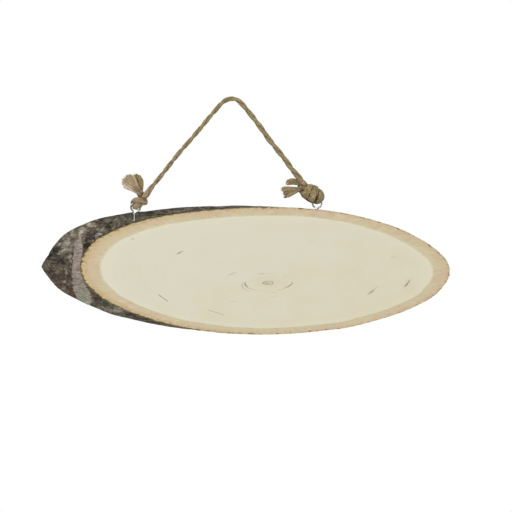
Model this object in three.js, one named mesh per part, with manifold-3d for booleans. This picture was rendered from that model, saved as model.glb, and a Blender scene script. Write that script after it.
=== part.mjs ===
// A slanting slice of a bark-covered branch, sanded on both faces, that hangs from a jute cord tied to
// two small screw eyes. Millimetres, +Z up. The front face looks along -Y, and the origin is the point
// that the slice hangs from: the underside of the cord where it bends over its support.
import * as THREE from "three";
import { mergeVertices } from "three/addons/utils/BufferGeometryUtils.js";
import Module from "manifold-3d";

const wasm = await Module();
wasm.setup();

const degrees = THREE.MathUtils.degToRad;

// The branch and the two saw cuts through it
const BRANCH_RADIUS = 44.8;
const FACE_STRETCH = 2.87; // the slanting cut makes each face this many times longer than it is high
const THICKNESS = 10;
const FACE_CENTRE = new THREE.Vector3(23.2, -THICKNESS / 2, -118);
const AXIS_STEP = new THREE.Vector3(-26.3, THICKNESS, 2.1); // from the front face's centre to the back's

// Swellings of the branch: how many go round it, how high they are, and the angle of the first crest
const LOBES = [
  { around: 1, height: 0.53, crest: 168 },
  { around: 2, height: 0.56, crest: -44 },
  { around: 3, height: 0.41, crest: 21 },
  { around: 4, height: 0.33, crest: -20 },
  { around: 5, height: 0.29, crest: -5 },
  { around: 6, height: 0.2, crest: 11 },
];
const MEAN_SHRINK = 0.2; // the mean radius lies this far inside BRANCH_RADIUS

// How the branch's radius changes from the front face to the back
const TAPER = 0.6;
const KEEL = { angle: 180, height: 1.5, spread: 13 }; // the sharp ridge of bark that ends in the left tip
const SHOULDERS = [
  { angle: 137, height: 1.35, spread: 27 },
  { angle: 203, height: 0.7, spread: 14 },
];

// Bark relief: low ridges along the branch, which wander sideways and fade in and out
const RIDGES = { around: 17, height: 0.32, length: 13, wander: 1.4, atFront: 0.25 };

const SLICE_STEPS_AROUND = 160;
const SLICE_STEPS_THROUGH = 6;

// Screw eyes
const WIRE_RADIUS = 0.6;
const RING_RADIUS = 3.25; // to the middle of the wire
const RING_ARC = { from: -62, to: 242, steps: 20 }; // the wire's turn round the ring
const WIRE_SIDES = 8;
const WIRE_STEPS = 34;
const SHANK_OFFSET = -1.2; // the shank stands this far to the left of the ring's centre
const NECK_DROP = 4.55; // from the ring's centre down to the bend below the ring
const SHANK_DROP = 4.85; // from the ring's centre down to the shank's upper end
const SHANK_LENGTH = 12.4;
const SHANK_ROWS = 34;
const THREAD = { length: 8.4, rise: 0.22, pitch: 0.9, point: 2.2, tipShare: 0.18 };
const EYE_LEFT = new THREE.Vector3(-67.1, -2.9, -74.3);
const EYE_RIGHT = new THREE.Vector3(59.4, -0.4, -71.4);
const CLEARANCE = 0.3;

// Cord
const CORD_RADIUS = 1.6;
const CORD_SIDES = 8;
const CORD_STEPS = 34;
const KNOT_STEP = 1.4; // length of one step along a knotted strand
const STEPS_PER_PIECE = 3;
const LOCK_SIDES = 6;
const LOCK_STEPS = 5;
const STUB_GAP = 0.4; // between the free cord and the cord that enters each knot
const HANGER_ROUTE = [
  [-50.2, -2.4, -53.3],
  [-43.4, -2, -44.6],
  [-36.5, -1.6, -35.9],
  [-28.9, -1.2, -27.1],
  [-21.4, -0.8, -18.2],
  [-14.6, -0.4, -9.9],
  [-10.2, -0.2, -4.8],
  [-7.6, -0.1, -1.9],
  [-4.7, 0, 0.4],
  [0, 0, 1.6],
  [3.9, 0, 0.5],
  [6.8, 0, -2.1],
  [10.1, -0.1, -5.9],
  [14.9, -0.1, -11.9],
  [19.6, -0.2, -18.2],
  [25.3, -0.2, -26.2],
  [31.2, -0.3, -33.7],
  [36.8, -0.4, -40.7],
  [41.4, -0.4, -47.2],
];

// Knots: each strand's route and each tuft's root and tips are measured from the ring's centre
const KNOT_LEFT = {
  eye: EYE_LEFT,
  radius: 1.85,
  route: [
    [10.2, 0.1, 12.8],
    [7.6, 0, 9.1],
    [5.6, -0.8, 6.3],
    [4.1, -2.5, 4.1],
    [2.8, -3.1, 2.1],
    [1.1, -2.1, 0.5],
    [0.1, 0, 0.1],
    [-0.9, 2, 0.9],
    [-1.7, 2.9, 2.9],
    [-1.6, 2.1, 4.9],
    [-0.2, -0.5, 6.1],
    [2.3, -2.9, 5.8],
    [4.9, -3.2, 4.4],
    [6.6, -0.7, 3.7],
    [6.7, 2.4, 5],
    [5.3, 3.3, 7.3],
    [3.6, 1.4, 8.7],
    [2.6, -0.2, 11.2],
  ],
  tufts: [
    {
      root: [2.5, 0.1, 9.8],
      width: 1.45,
      tips: [
        [-8.2, -0.4, 14.6],
        [-8.4, 0.9, 17.4],
        [-7.3, -0.9, 20],
        [-5, 0.5, 21.6],
        [-2.4, -0.6, 22.2],
        [0, 0.6, 22],
      ],
    },
    {
      root: [3.3, 0.6, 10.2],
      width: 1.35,
      tips: [
        [1.6, 1.7, 21.9],
        [3.6, 0.9, 20.6],
        [4.4, 1.8, 18.2],
      ],
    },
  ],
};
const KNOT_RIGHT = {
  eye: EYE_RIGHT,
  radius: 2,
  route: [
    [-12.5, 0, 17.5],
    [-9.8, 0, 13.3],
    [-6.6, 0.3, 9.5],
    [-3, -0.9, 7.8],
    [0.8, -2.3, 6.8],
    [3.1, -3, 4.8],
    [2.1, -2.6, 2.2],
    [0.3, 0, 0.3],
    [-0.8, 2.5, 1.9],
    [-1.3, 3.2, 4.6],
    [-0.4, 3.1, 7.7],
    [1.1, 1, 9.2],
    [-0.1, -2.4, 9.7],
    [-2.6, -4.6, 7.2],
    [-4.5, -3.8, 3.9],
    [-5.2, -0.6, 2.5],
    [-5.4, 2.6, 3.4],
    [-5.2, 4.2, 7.4],
    [-4.7, 3, 10.9],
    [-5, -0.2, 12.1],
    [-6.4, -3.9, 10.3],
    [-7.9, -4.6, 7],
    [-9, -1.6, 4.4],
    [-9.7, 1.8, 5.4],
    [-10.1, 2.4, 8.6],
    [-11, 1.1, 11],
    [-12.8, 0.4, 12],
  ],
  tufts: [
    {
      root: [-11.2, 0.6, 11.8],
      width: 1.45,
      arch: 3.4,
      tips: [
        [-20.3, 0.6, 13],
        [-20, -0.4, 14.2],
        [-19, 1.6, 15],
      ],
    },
    {
      root: [-10.8, 0, 10.6],
      width: 1.35,
      arch: 0.6,
      tips: [
        [-24.4, 0.2, 10.3],
        [-23.4, -0.8, 8.4],
        [-22.4, 0.9, 6.6],
        [-20.8, -0.2, 5],
      ],
    },
  ],
};

const WOOD = { color: 0xdad5be, roughness: 0.75, metalness: 0 };
const ZINC = { color: 0xc8c8c6, roughness: 0.3, metalness: 1 };
const JUTE = { color: 0x9a8560, roughness: 0.95, metalness: 0 };

// Turns a closed three.js geometry into a solid
function solidOf(geometry) {
  const bare = geometry.clone();
  bare.deleteAttribute("normal");
  bare.deleteAttribute("uv");
  const merged = mergeVertices(bare, 1e-4);
  return new wasm.Manifold(
    new wasm.Mesh({
      numProp: 3,
      vertProperties: new Float32Array(merged.attributes.position.array),
      triVerts: new Uint32Array(merged.index.array),
    }),
  );
}

// Turns a solid back into a three.js geometry
function geometryOf(solid) {
  const mesh = solid.getMesh();
  const geometry = new THREE.BufferGeometry();
  geometry.setAttribute("position", new THREE.BufferAttribute(mesh.vertProperties, 3));
  geometry.setIndex(new THREE.BufferAttribute(mesh.triVerts, 1));
  geometry.computeVertexNormals();
  return geometry;
}

function joined(solids) {
  return solids.reduce((whole, next) => whole.add(next));
}

// The outer skin alone: small hollows shut inside a knot are filled, and loose scraps are dropped
function withoutHollows(solid) {
  return solid.decompose().reduce((largest, body) => (body.volume() > largest.volume() ? body : largest));
}

function namedMesh(name, geometry, look) {
  const mesh = new THREE.Mesh(geometry, new THREE.MeshStandardMaterial(look));
  mesh.name = name;
  return mesh;
}

// A smooth hill of height 1, with its top at one angle and its foot `spread` degrees to either side
function hill(angle, top, spread) {
  const away = Math.abs(angle - top);
  return away < spread ? Math.cos((away / spread) * (Math.PI / 2)) ** 2 : 0;
}

// The branch's radius at an angle round it, before the bark's relief
function lobedRadius(angle) {
  const swelling = LOBES.reduce(
    (sum, lobe) => sum + lobe.height * Math.cos(lobe.around * degrees(angle - lobe.crest)),
    0,
  );
  return BRANCH_RADIUS - MEAN_SHRINK + swelling;
}

// How much the radius changes by the back edge
function backChange(angle) {
  const keel = KEEL.height * Math.max(0, 1 - Math.abs(angle - KEEL.angle) / KEEL.spread);
  const swollen = (sum, bump) => sum + bump.height * hill(angle, bump.angle, bump.spread);
  return SHOULDERS.reduce(swollen, keel - TAPER);
}

// The bark's height above its mean at an angle round the branch and a distance along it
function barkRelief(angle, along) {
  const drift = Math.sin(along / RIDGES.length + 2 * Math.sin(degrees(3 * angle)));
  const ridges = Math.cos(degrees(RIDGES.around * angle) + RIDGES.wander * drift);
  const fading = 0.6 + 0.4 * Math.sin((2.3 * along) / RIDGES.length + degrees(5 * angle));
  return RIDGES.height * ridges * fading;
}

// A point of the sawn branch's side, at an angle round it and a share of the way from front to back
function sidePoint(angle, through) {
  const turn = degrees(angle);
  const along = AXIS_STEP.length() * through - BRANCH_RADIUS * FACE_STRETCH * Math.cos(turn);
  const relief = barkRelief(angle, along) * THREE.MathUtils.lerp(RIDGES.atFront, 1, through);
  const radius = lobedRadius(angle) + through * backChange(angle) + relief;
  const centre = FACE_CENTRE.clone().addScaledVector(AXIS_STEP, through);
  return centre.add(
    new THREE.Vector3(radius * FACE_STRETCH * Math.cos(turn), 0, radius * Math.sin(turn)),
  );
}

function sawnSlice() {
  const positions = [];
  const faces = [];
  for (let row = 0; row <= SLICE_STEPS_THROUGH; row++)
    for (let step = 0; step < SLICE_STEPS_AROUND; step++)
      positions.push(
        ...sidePoint((360 * step) / SLICE_STEPS_AROUND, row / SLICE_STEPS_THROUGH).toArray(),
      );
  const at = (row, step) => row * SLICE_STEPS_AROUND + (step % SLICE_STEPS_AROUND);
  const frontCentre = positions.length / 3;
  positions.push(...FACE_CENTRE.toArray(), ...FACE_CENTRE.clone().add(AXIS_STEP).toArray());
  for (let step = 0; step < SLICE_STEPS_AROUND; step++) {
    for (let row = 0; row < SLICE_STEPS_THROUGH; row++) {
      faces.push(at(row, step), at(row + 1, step + 1), at(row, step + 1));
      faces.push(at(row, step), at(row + 1, step), at(row + 1, step + 1));
    }
    faces.push(frontCentre, at(0, step), at(0, step + 1));
    faces.push(frontCentre + 1, at(SLICE_STEPS_THROUGH, step + 1), at(SLICE_STEPS_THROUGH, step));
  }
  const geometry = new THREE.BufferGeometry();
  geometry.setAttribute("position", new THREE.Float32BufferAttribute(positions, 3));
  geometry.setIndex(faces);
  return geometry;
}

// The hole that a screw eye's shank stands in, open at the top through the bark
function pilotHole(eye) {
  const radius = WIRE_RADIUS + THREAD.rise + CLEARANCE;
  const top = eye.z;
  const bottom = eye.z - SHANK_DROP - SHANK_LENGTH - CLEARANCE;
  const hole = new THREE.CylinderGeometry(radius, radius, top - bottom, 16);
  hole.rotateX(Math.PI / 2);
  hole.translate(eye.x + SHANK_OFFSET, eye.y, (top + bottom) / 2);
  return hole;
}

// A closed tube along a smooth route
function tube(route, radius, sides, steps) {
  const section = new THREE.Shape(
    Array.from({ length: sides }, (_, side) => {
      const turn = (2 * Math.PI * side) / sides;
      return new THREE.Vector2(radius * Math.cos(turn), radius * Math.sin(turn));
    }),
  );
  return new THREE.ExtrudeGeometry(section, { steps, extrudePath: route, bevelEnabled: false });
}

function smoothRoute(points) {
  return new THREE.CatmullRomCurve3(
    points.map((point) => new THREE.Vector3(...point)),
    false,
    "centripetal",
  );
}

// The eye's wire: up the neck, to the right and round the ring until it almost meets the neck again
function eyeWire(eye) {
  const points = [
    [SHANK_OFFSET, 0, -NECK_DROP - 2 * WIRE_RADIUS],
    [SHANK_OFFSET, 0, -NECK_DROP],
  ];
  for (let step = 0; step <= RING_ARC.steps; step++) {
    const turn = degrees(RING_ARC.from + ((RING_ARC.to - RING_ARC.from) * step) / RING_ARC.steps);
    points.push([RING_RADIUS * Math.cos(turn), 0, RING_RADIUS * Math.sin(turn)]);
  }
  return tube(smoothRoute(points), WIRE_RADIUS, WIRE_SIDES, WIRE_STEPS).translate(...eye.toArray());
}

// The straight shank, with a screw thread that runs out to a point
function eyeShank(eye) {
  const size = [WIRE_RADIUS, WIRE_RADIUS, SHANK_LENGTH];
  const shank = new THREE.CylinderGeometry(...size, WIRE_SIDES, SHANK_ROWS);
  const place = shank.attributes.position;
  for (let i = 0; i < place.count; i++) {
    const fromTip = place.getY(i) + SHANK_LENGTH / 2;
    const turn = Math.atan2(place.getZ(i), place.getX(i)) / (2 * Math.PI);
    const wave = THREE.MathUtils.euclideanModulo(fromTip / THREAD.pitch + turn, 1);
    const crest = Math.max(0, 1 - 4 * Math.abs(wave - 0.5));
    const fade = THREE.MathUtils.clamp((THREAD.length - fromTip) / THREAD.pitch, 0, 1);
    const onPoint = THREE.MathUtils.clamp(fromTip / THREAD.point, 0, 1);
    const taper = THREE.MathUtils.lerp(THREAD.tipShare, 1, onPoint);
    const grown = (1 + (THREAD.rise / WIRE_RADIUS) * crest * fade) * taper;
    place.setX(i, place.getX(i) * grown);
    place.setZ(i, place.getZ(i) * grown);
  }
  shank.rotateX(Math.PI / 2);
  shank.translate(eye.x + SHANK_OFFSET, eye.y, eye.z - SHANK_DROP - SHANK_LENGTH / 2);
  return shank;
}

function screwEye(eye) {
  return geometryOf(joined([solidOf(eyeWire(eye)), solidOf(eyeShank(eye))]));
}

// A closed geometry over a row of rings, each a list of points in the same turning order
function skinned(rings) {
  const sides = rings[0].length;
  const positions = [];
  const faces = [];
  rings.forEach((ring) => ring.forEach((point) => positions.push(...point.toArray())));
  const ends = [rings[0], rings.at(-1)].map((ring) => {
    const middle = ring.reduce((sum, point) => sum.add(point), new THREE.Vector3());
    positions.push(...middle.divideScalar(sides).toArray());
    return positions.length / 3 - 1;
  });
  const last = (rings.length - 1) * sides;
  for (let side = 0; side < sides; side++) {
    const next = (side + 1) % sides;
    for (let row = 0; row < last; row += sides) {
      faces.push(row + side, row + next, row + sides + next);
      faces.push(row + side, row + sides + next, row + sides + side);
    }
    faces.push(ends[0], next, side);
    faces.push(ends[1], last + side, last + next);
  }
  const geometry = new THREE.BufferGeometry();
  geometry.setAttribute("position", new THREE.Float32BufferAttribute(positions, 3));
  geometry.setIndex(faces);
  return geometry;
}

// Rings round a route, at equal steps, with the radius given as a function of the share of the way
function ringsAlong(route, radiusAt, sides, steps) {
  const frames = route.computeFrenetFrames(steps, false);
  return Array.from({ length: steps + 1 }, (_, step) => {
    const middle = route.getPointAt(step / steps);
    const radius = radiusAt(step / steps);
    return Array.from({ length: sides }, (_, side) => {
      const turn = (2 * Math.PI * side) / sides;
      return middle
        .clone()
        .addScaledVector(frames.normals[step], radius * Math.cos(turn))
        .addScaledVector(frames.binormals[step], radius * Math.sin(turn));
    });
  });
}

// A knotted strand crosses and touches itself, so it is joined from short lengths that don't
function knottedStrand(points, radius) {
  const route = smoothRoute(points);
  const steps = Math.round(route.getLength() / KNOT_STEP);
  const rings = ringsAlong(route, () => radius, CORD_SIDES, steps);
  const lengths = [];
  for (let step = 0; step < steps; step += STEPS_PER_PIECE)
    lengths.push(solidOf(skinned(rings.slice(step, step + STEPS_PER_PIECE + 1))));
  return joined(lengths);
}

// One lock of frayed fibres: narrow at the root, wider towards its blunt tip
function fibreLock(root, tip, width, arch) {
  const middle = root.clone().lerp(tip, 0.55);
  middle.z += arch;
  const route = new THREE.QuadraticBezierCurve3(root, middle, tip);
  const widthAt = (share) => width * (0.55 + 0.55 * share) * (share < 1 ? 1 : 0.6);
  return skinned(ringsAlong(route, widthAt, LOCK_SIDES, LOCK_STEPS));
}

function tuftLocks(tuft) {
  const root = new THREE.Vector3(...tuft.root);
  return tuft.tips.map((tip) => {
    const end = new THREE.Vector3(...tip);
    return solidOf(fibreLock(root, end, tuft.width, tuft.arch ?? 0));
  });
}

// The knot's strand and its frayed tail, with a channel left round the wire of the eye
function tiedEnd(knot) {
  const channel = new THREE.TorusGeometry(RING_RADIUS, WIRE_RADIUS + CLEARANCE, 12, 40);
  channel.rotateX(Math.PI / 2);
  const cord = joined([
    knottedStrand(knot.route, knot.radius),
    ...knot.tufts.flatMap((tuft) => tuftLocks(tuft)),
  ]);
  const tied = withoutHollows(withoutHollows(cord).subtract(solidOf(channel)));
  return geometryOf(tied).translate(...knot.eye.toArray());
}

// The two points where the free cord leaves a knot, in line with the cord that enters it
function knotExit(knot) {
  const [start, inside] = knot.route.map((point) => new THREE.Vector3(...point));
  const outward = start.clone().sub(inside).normalize();
  return [STUB_GAP, 2 * CORD_RADIUS].map((away) =>
    start.clone().add(knot.eye).addScaledVector(outward, away).toArray(),
  );
}

// The free cord, from the left knot over the hanging point to the right knot
function freeCord() {
  const points = [...knotExit(KNOT_LEFT), ...HANGER_ROUTE, ...knotExit(KNOT_RIGHT).reverse()];
  return tube(smoothRoute(points), CORD_RADIUS, CORD_SIDES, CORD_STEPS);
}

function drilledSlice() {
  const holes = joined([EYE_LEFT, EYE_RIGHT].map((eye) => solidOf(pilotHole(eye))));
  return geometryOf(solidOf(sawnSlice()).subtract(holes));
}

const plaque = new THREE.Group();
plaque.add(
  namedMesh("wood_slice", drilledSlice(), WOOD),
  namedMesh("screw_eye_left", screwEye(EYE_LEFT), ZINC),
  namedMesh("screw_eye_right", screwEye(EYE_RIGHT), ZINC),
  namedMesh("hanger_cord", freeCord(), JUTE),
  namedMesh("knot_left", tiedEnd(KNOT_LEFT), JUTE),
  namedMesh("knot_right", tiedEnd(KNOT_RIGHT), JUTE),
);

export default plaque;
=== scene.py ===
"""Finishes a slanting slice of a bark-covered branch that hangs from a jute cord on two screw eyes.

Everything is in metres, +Z up. The front face looks along -Y, and the origin is the point that the
cord hangs from.
"""

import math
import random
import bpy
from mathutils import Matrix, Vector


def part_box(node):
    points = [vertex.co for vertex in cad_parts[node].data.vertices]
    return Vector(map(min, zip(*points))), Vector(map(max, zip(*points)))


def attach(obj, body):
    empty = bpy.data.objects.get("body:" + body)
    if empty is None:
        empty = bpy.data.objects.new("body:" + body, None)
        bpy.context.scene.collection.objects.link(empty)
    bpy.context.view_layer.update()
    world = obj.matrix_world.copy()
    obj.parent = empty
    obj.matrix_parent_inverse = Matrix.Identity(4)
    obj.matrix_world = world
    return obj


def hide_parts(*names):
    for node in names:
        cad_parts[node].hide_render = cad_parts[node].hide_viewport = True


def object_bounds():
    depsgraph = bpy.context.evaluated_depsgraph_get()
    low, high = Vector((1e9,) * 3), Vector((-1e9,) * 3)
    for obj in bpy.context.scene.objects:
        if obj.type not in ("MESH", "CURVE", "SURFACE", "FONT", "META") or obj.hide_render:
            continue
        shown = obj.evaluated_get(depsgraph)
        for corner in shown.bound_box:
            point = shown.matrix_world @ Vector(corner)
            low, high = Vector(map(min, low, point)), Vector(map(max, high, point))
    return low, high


bl_info = {
    "name": "Hanging wood slice",
    "version": (1, 0, 0),
    "blender": (4, 5, 0),
    "location": "3D View > Sidebar > Wood slice",
    "description": "Models the bark, sanded wood, screw eyes and jute cord of a hanging wood slice",
    "category": "Object",
}

import bpy
from bpy.props import FloatProperty, FloatVectorProperty, IntProperty, PointerProperty
from mathutils import Vector, noise
from mathutils.geometry import interpolate_bezier
from mathutils.kdtree import KDTree

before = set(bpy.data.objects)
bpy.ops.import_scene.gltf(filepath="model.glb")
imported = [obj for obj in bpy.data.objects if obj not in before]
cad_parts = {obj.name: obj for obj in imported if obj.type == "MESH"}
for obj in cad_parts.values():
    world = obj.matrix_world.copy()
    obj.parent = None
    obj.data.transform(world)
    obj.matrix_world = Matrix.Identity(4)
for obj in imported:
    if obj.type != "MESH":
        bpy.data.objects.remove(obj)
CAD_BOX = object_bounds()
SLICE_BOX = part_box("wood_slice")
MM = 0.001

# Seeds of what is drawn at random: the chips, the waver of the blotches' edges, and the stray fibres
CHIP_SEED = 11
WAVER_SEED = 4
FIBRE_SEED = 5

# The branch: the step from the front face's centre to the back's, and the pith on the front face
FRONT_CENTRE = Vector((0.0232, SLICE_BOX[0].y, -0.118))
AXIS_STEP = Vector((-0.0263, SLICE_BOX[1].y - SLICE_BOX[0].y, 0.0021))
PITH = Vector((0.025, SLICE_BOX[0].y, -0.127))

# Swellings of the branch: how many go round it, their height, and the angle of the first crest. Every
# angle round the branch is in degrees, from its right end over the top
LOBES = (
    (1, 0.00053, 168),
    (2, 0.00056, -44),
    (3, 0.00041, 21),
    (4, 0.00033, -20),
    (5, 0.00029, -5),
    (6, 0.0002, 11),
)

# How far the outline lies inside the mean radius, before the bark's lumps stand out of it
MEAN_SHRINK = 0.0002

# How the radius changes by the back edge: an even taper, a keel (angle, height, and the spread above it
# and below it) and two shoulders (angle, height, spread)
TAPER = 0.0006
KEEL = (180, 0.0015, 11, 15)
SHOULDERS = ((137, 0.0011, 27), (200, 0.0006, 14))

# The branch is flatter on top: how much lower it is, and the angles that this fades in and out over
FLAT_TOP = (0.00055, (42, 60), (158, 138))

# Local swellings and hollows of the branch: angle, height and spread
BULGES = ((334, 0.00028, 24), (22, -0.0002, 12), (297, 0.0004, 10))

# Low ridges of the bark along the branch: how many, their height and length, how far they wander from
# side to side, and how much of them the front edge and the left tip keep
RIDGES_AROUND = 17
RIDGE_HEIGHT = 0.00032
RIDGE_LENGTH = 0.013
RIDGE_WANDER = 1.4
RIDGE_AT_FRONT = 0.25
RIDGE_AT_TIP = 0.3

# The bark's small relief: the sizes of its plates, lumps and grain in millimetres, and how much of it is
# left at a sawn edge, which is worn
PLATE_SIZE = 2.6
LUMP_SIZE = 3.1
GRAIN_SIZE = 0.9
RELIEF_AT_EDGE = 0.15
EDGE_WEAR = 0.00006

# Chips broken out of a sawn edge: how many, and the share of the way through the slice that they reach
CHIPS_PER_EDGE = 70
CHIP_REACH = 0.09

# Rings of the sawn faces, as shares of the way from the bark's edge to the wood, and beyond it. The blank's
# ends are inset by the label's width for each ring, and the rings are told apart by it afterwards
FACE_RINGS = (0, 0.025, 0.06, 0.11, 0.18, 0.28, 0.42, 0.6, 0.8, 0.94, 1.03, 1.14, 1.5)
RING_LABEL = 0.02

# How far the inner bark is sunk below the wood, how strongly the bark's rows crowd towards both edges, and
# how evenly its points are spread along the outline
INNER_BARK_SUNK = 0.00012
ROW_CROWDING = 0.55
EVENNESS = 0.75

# The smooth pale scar on the branch: height above the branch's middle, and both edges' places along it
SCAR = (
    (-0.0250, 0.0868, 0.0835),
    (-0.0232, 0.0896, 0.0819),
    (-0.0200, 0.0925, 0.0804),
    (-0.0160, 0.0933, 0.0811),
    (-0.0107, 0.0939, 0.0838),
    (0.0, 0.0941, 0.0862),
    (0.0143, 0.0946, 0.0878),
    (0.0186, 0.0957, 0.0893),
    (0.0205, 0.0932, 0.0901),
    (0.0238, 0.0943, 0.0911),
    (0.0252, 0.0937, 0.0920),
)

# Blotches on the bark: x, z, half width, half height, how pale (or how dark, below 0), how rusty
BLOTCHES = (
    (-0.1062, -0.0915, 0.0013, 0.0016, 1.4, 0),
    (-0.1154, -0.1015, 0.0053, 0.0048, 0.60, 0),
    (-0.1210, -0.0999, 0.0011, 0.0011, 1.1, 0),
    (-0.1191, -0.1047, 0.0016, 0.0012, 1.3, 0),
    (-0.1218, -0.1063, 0.0010, 0.0010, 1, 0),
    (-0.1133, -0.1090, 0.0024, 0.0016, 1.1, 0),
    (-0.1159, -0.1196, 0.0007, 0.0019, 1.3, 0),
    (-0.1175, -0.1260, 0.0019, 0.0010, 1, 0.6),
    (-0.1218, -0.1191, 0.0016, 0.0013, 0.35, 0.8),
    (-0.1056, -0.0914, 0.0013, 0.0011, 1.5, 0),
    (-0.1117, -0.0930, 0.0033, 0.0018, 0.5, 0),
    (-0.0984, -0.0863, 0.0047, 0.0018, 1.0, 0.75),
    (-0.0931, -0.0930, 0.0032, 0.0008, 1.1, 0),
    (-0.0872, -0.0834, 0.0037, 0.0016, 0.65, 0),
    (-0.0811, -0.0840, 0.0027, 0.0014, 0.6, 0),
    (-0.0840, -0.0882, 0.0051, 0.0014, -0.15, 0),
    (-0.0904, -0.0898, 0.0028, 0.0011, 0.35, 0.1),
    (-0.0622, -0.0786, 0.0027, 0.0010, 0.5, 0),
    (-0.1260, -0.1063, 0.0029, 0.0043, -0.45, 0),
    (-0.1175, -0.1121, 0.0033, 0.0029, -0.4, 0),
    (-0.1010, -0.0999, 0.0043, 0.0035, -0.5, 0),
    (-0.1000, -0.0978, 0.0016, 0.0013, 0.1, 0.9),
    (-0.0952, -0.0925, 0.0032, 0.0011, -0.35, 0),
    (-0.1138, -0.1286, 0.0032, 0.0019, 0.25, 0),
    (-0.1181, -0.1308, 0.0019, 0.0014, 0.8, 0),
    (-0.1106, -0.1324, 0.0032, 0.0021, -0.3, 0),
    (-0.0941, -0.1366, 0.0051, 0.0022, -0.45, 0.2),
    (-0.1005, -0.1403, 0.0037, 0.0012, 0.9, 0.35),
    (-0.0766, -0.1456, 0.0176, 0.0032, 0.62, 0.1),
)

# Short cracks and specks in the sanded face: start x and z, end x and z, width, strength, warm halo
CRACKS = (
    (-0.0692, -0.0965, -0.0688, -0.0966, 0.0010, 0.75, 0.0),
    (-0.0385, -0.1069, -0.0343, -0.1050, 0.0007, 0.55, 0.0),
    (-0.0372, -0.1063, -0.0357, -0.1057, 0.0011, 0.60, 0.0),
    (-0.0509, -0.1353, -0.0449, -0.1395, 0.0006, 0.70, 0.0),
    (-0.0163, -0.1458, -0.0061, -0.1491, 0.0006, 0.35, 0.0),
    (-0.0026, -0.1218, 0.0026, -0.1197, 0.0005, 0.45, 0.0),
    (-0.0021, -0.1400, 0.0035, -0.1399, 0.0006, 0.20, 0.0),
    (0.0949, -0.1346, 0.0983, -0.1322, 0.0007, 0.95, 0.2),
    (0.0978, -0.1324, 0.1016, -0.1292, 0.0005, 0.35, 0.0),
    (0.1203, -0.1294, 0.1218, -0.1276, 0.0008, 0.90, 0.35),
    (0.1221, -0.1272, 0.1236, -0.1252, 0.0007, 0.80, 0.35),
    (0.1110, -0.1092, 0.1140, -0.1091, 0.0006, 0.25, 0.0),
    (0.0537, -0.0985, 0.0570, -0.0982, 0.0006, 0.10, 0.0),
)

# Curved cracks round the pith: radius and angle where they start, and where they end, width, strength
ARCS = (
    (0.00120, -179, 0.00125, 179, 0.00030, 0.60),
    (0.00052, 150, 0.00050, 380, 0.00022, 0.55),
    (0.00555, 176, 0.00575, 212, 0.00034, 0.75),
    (0.00575, 205, 0.00590, 243, 0.00028, 0.42),
    (0.00625, 184, 0.00735, 229, 0.00026, 0.40),
    (0.00535, 322, 0.00583, 358, 0.00036, 0.75),
    (0.00535, 306, 0.00600, 368, 0.00026, 0.30),
    (0.00640, 73, 0.00690, 116, 0.00026, 0.22),
    (0.00655, 98, 0.00640, 108, 0.00036, 0.55),
    (0.00650, 44, 0.00650, 54, 0.00030, 0.25),
    (0.00560, 294, 0.00560, 306, 0.00034, 0.36),
    (0.00560, 243, 0.00570, 292, 0.00022, 0.13),
    (0.00690, 276, 0.00690, 288, 0.00030, 0.32),
    (0.00970, 272, 0.00970, 284, 0.00026, 0.18),
)

# Where the angles round the pith have their seam, which no short arc crosses
ARC_GAP = 143

# Growth rings between the pith and the inner bark
GROWTH_RINGS = 21

# The inner bark's streaks point to the pith. Their pattern is read round a circle of this radius in
# millimetres, and they are this many times as long as wide
STREAK_CIRCLE = 44
STREAK_LENGTH = 2.4

# Heights in millimetres that the bark's colours change between: where it gets paler at the top left, and
# how far left, where painted bounce light starts to lighten its lower band, which faces down, and where
# the bark turns browner and the scar greener
PALER_ABOVE = (-105, -97)
PALER_LEFT_OF = (-98, -104)
BOUNCE_LIGHT_BELOW = (-134, -140)
BROWNER_BELOW = (-117, -124)
GREENER_BELOW = (-127, -135)

# Screw eyes, from the ring's centre. The ring's wire runs from its first angle to its last in even steps,
# and the shank, to the left of the centre, has a thread that runs out at its point
RING_RADIUS = 0.00325
RING_ARC = (-62, 242, 76)
WIRE_STEP = 0.00025
SHANK_OFFSET = -0.0012
NECK_DROP = 0.00455
SHANK_DROP = 0.00485
SHANK_LENGTH = 0.0124
SHANK_SIDES = 20
SHANK_ROWS = 131
THREAD_LENGTH = 0.0084
THREAD_PITCH = 0.0009
THREAD_RISE = 0.00022
THREAD_POINT = 0.0022
THREAD_TIP_SHARE = 0.1

# The cord's route between its knots
HANGER_ROUTE = (
    (-0.0502, -0.0024, -0.0533), (-0.0434, -0.0020, -0.0446), (-0.0365, -0.0016, -0.0359),
    (-0.0289, -0.0012, -0.0271), (-0.0214, -0.0008, -0.0182), (-0.0146, -0.0004, -0.0099),
    (-0.0102, -0.0002, -0.0048), (-0.0076, -0.0001, -0.0019), (-0.0047, 0.0, 0.0004),
    (0.0, 0.0, 0.0016), (0.0039, 0.0, 0.0005), (0.0068, 0.0, -0.0021), (0.0101, -0.0001, -0.0059),
    (0.0149, -0.0001, -0.0119), (0.0196, -0.0002, -0.0182), (0.0253, -0.0002, -0.0262),
    (0.0312, -0.0003, -0.0337), (0.0368, -0.0004, -0.0407), (0.0414, -0.0004, -0.0472),
)
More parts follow.
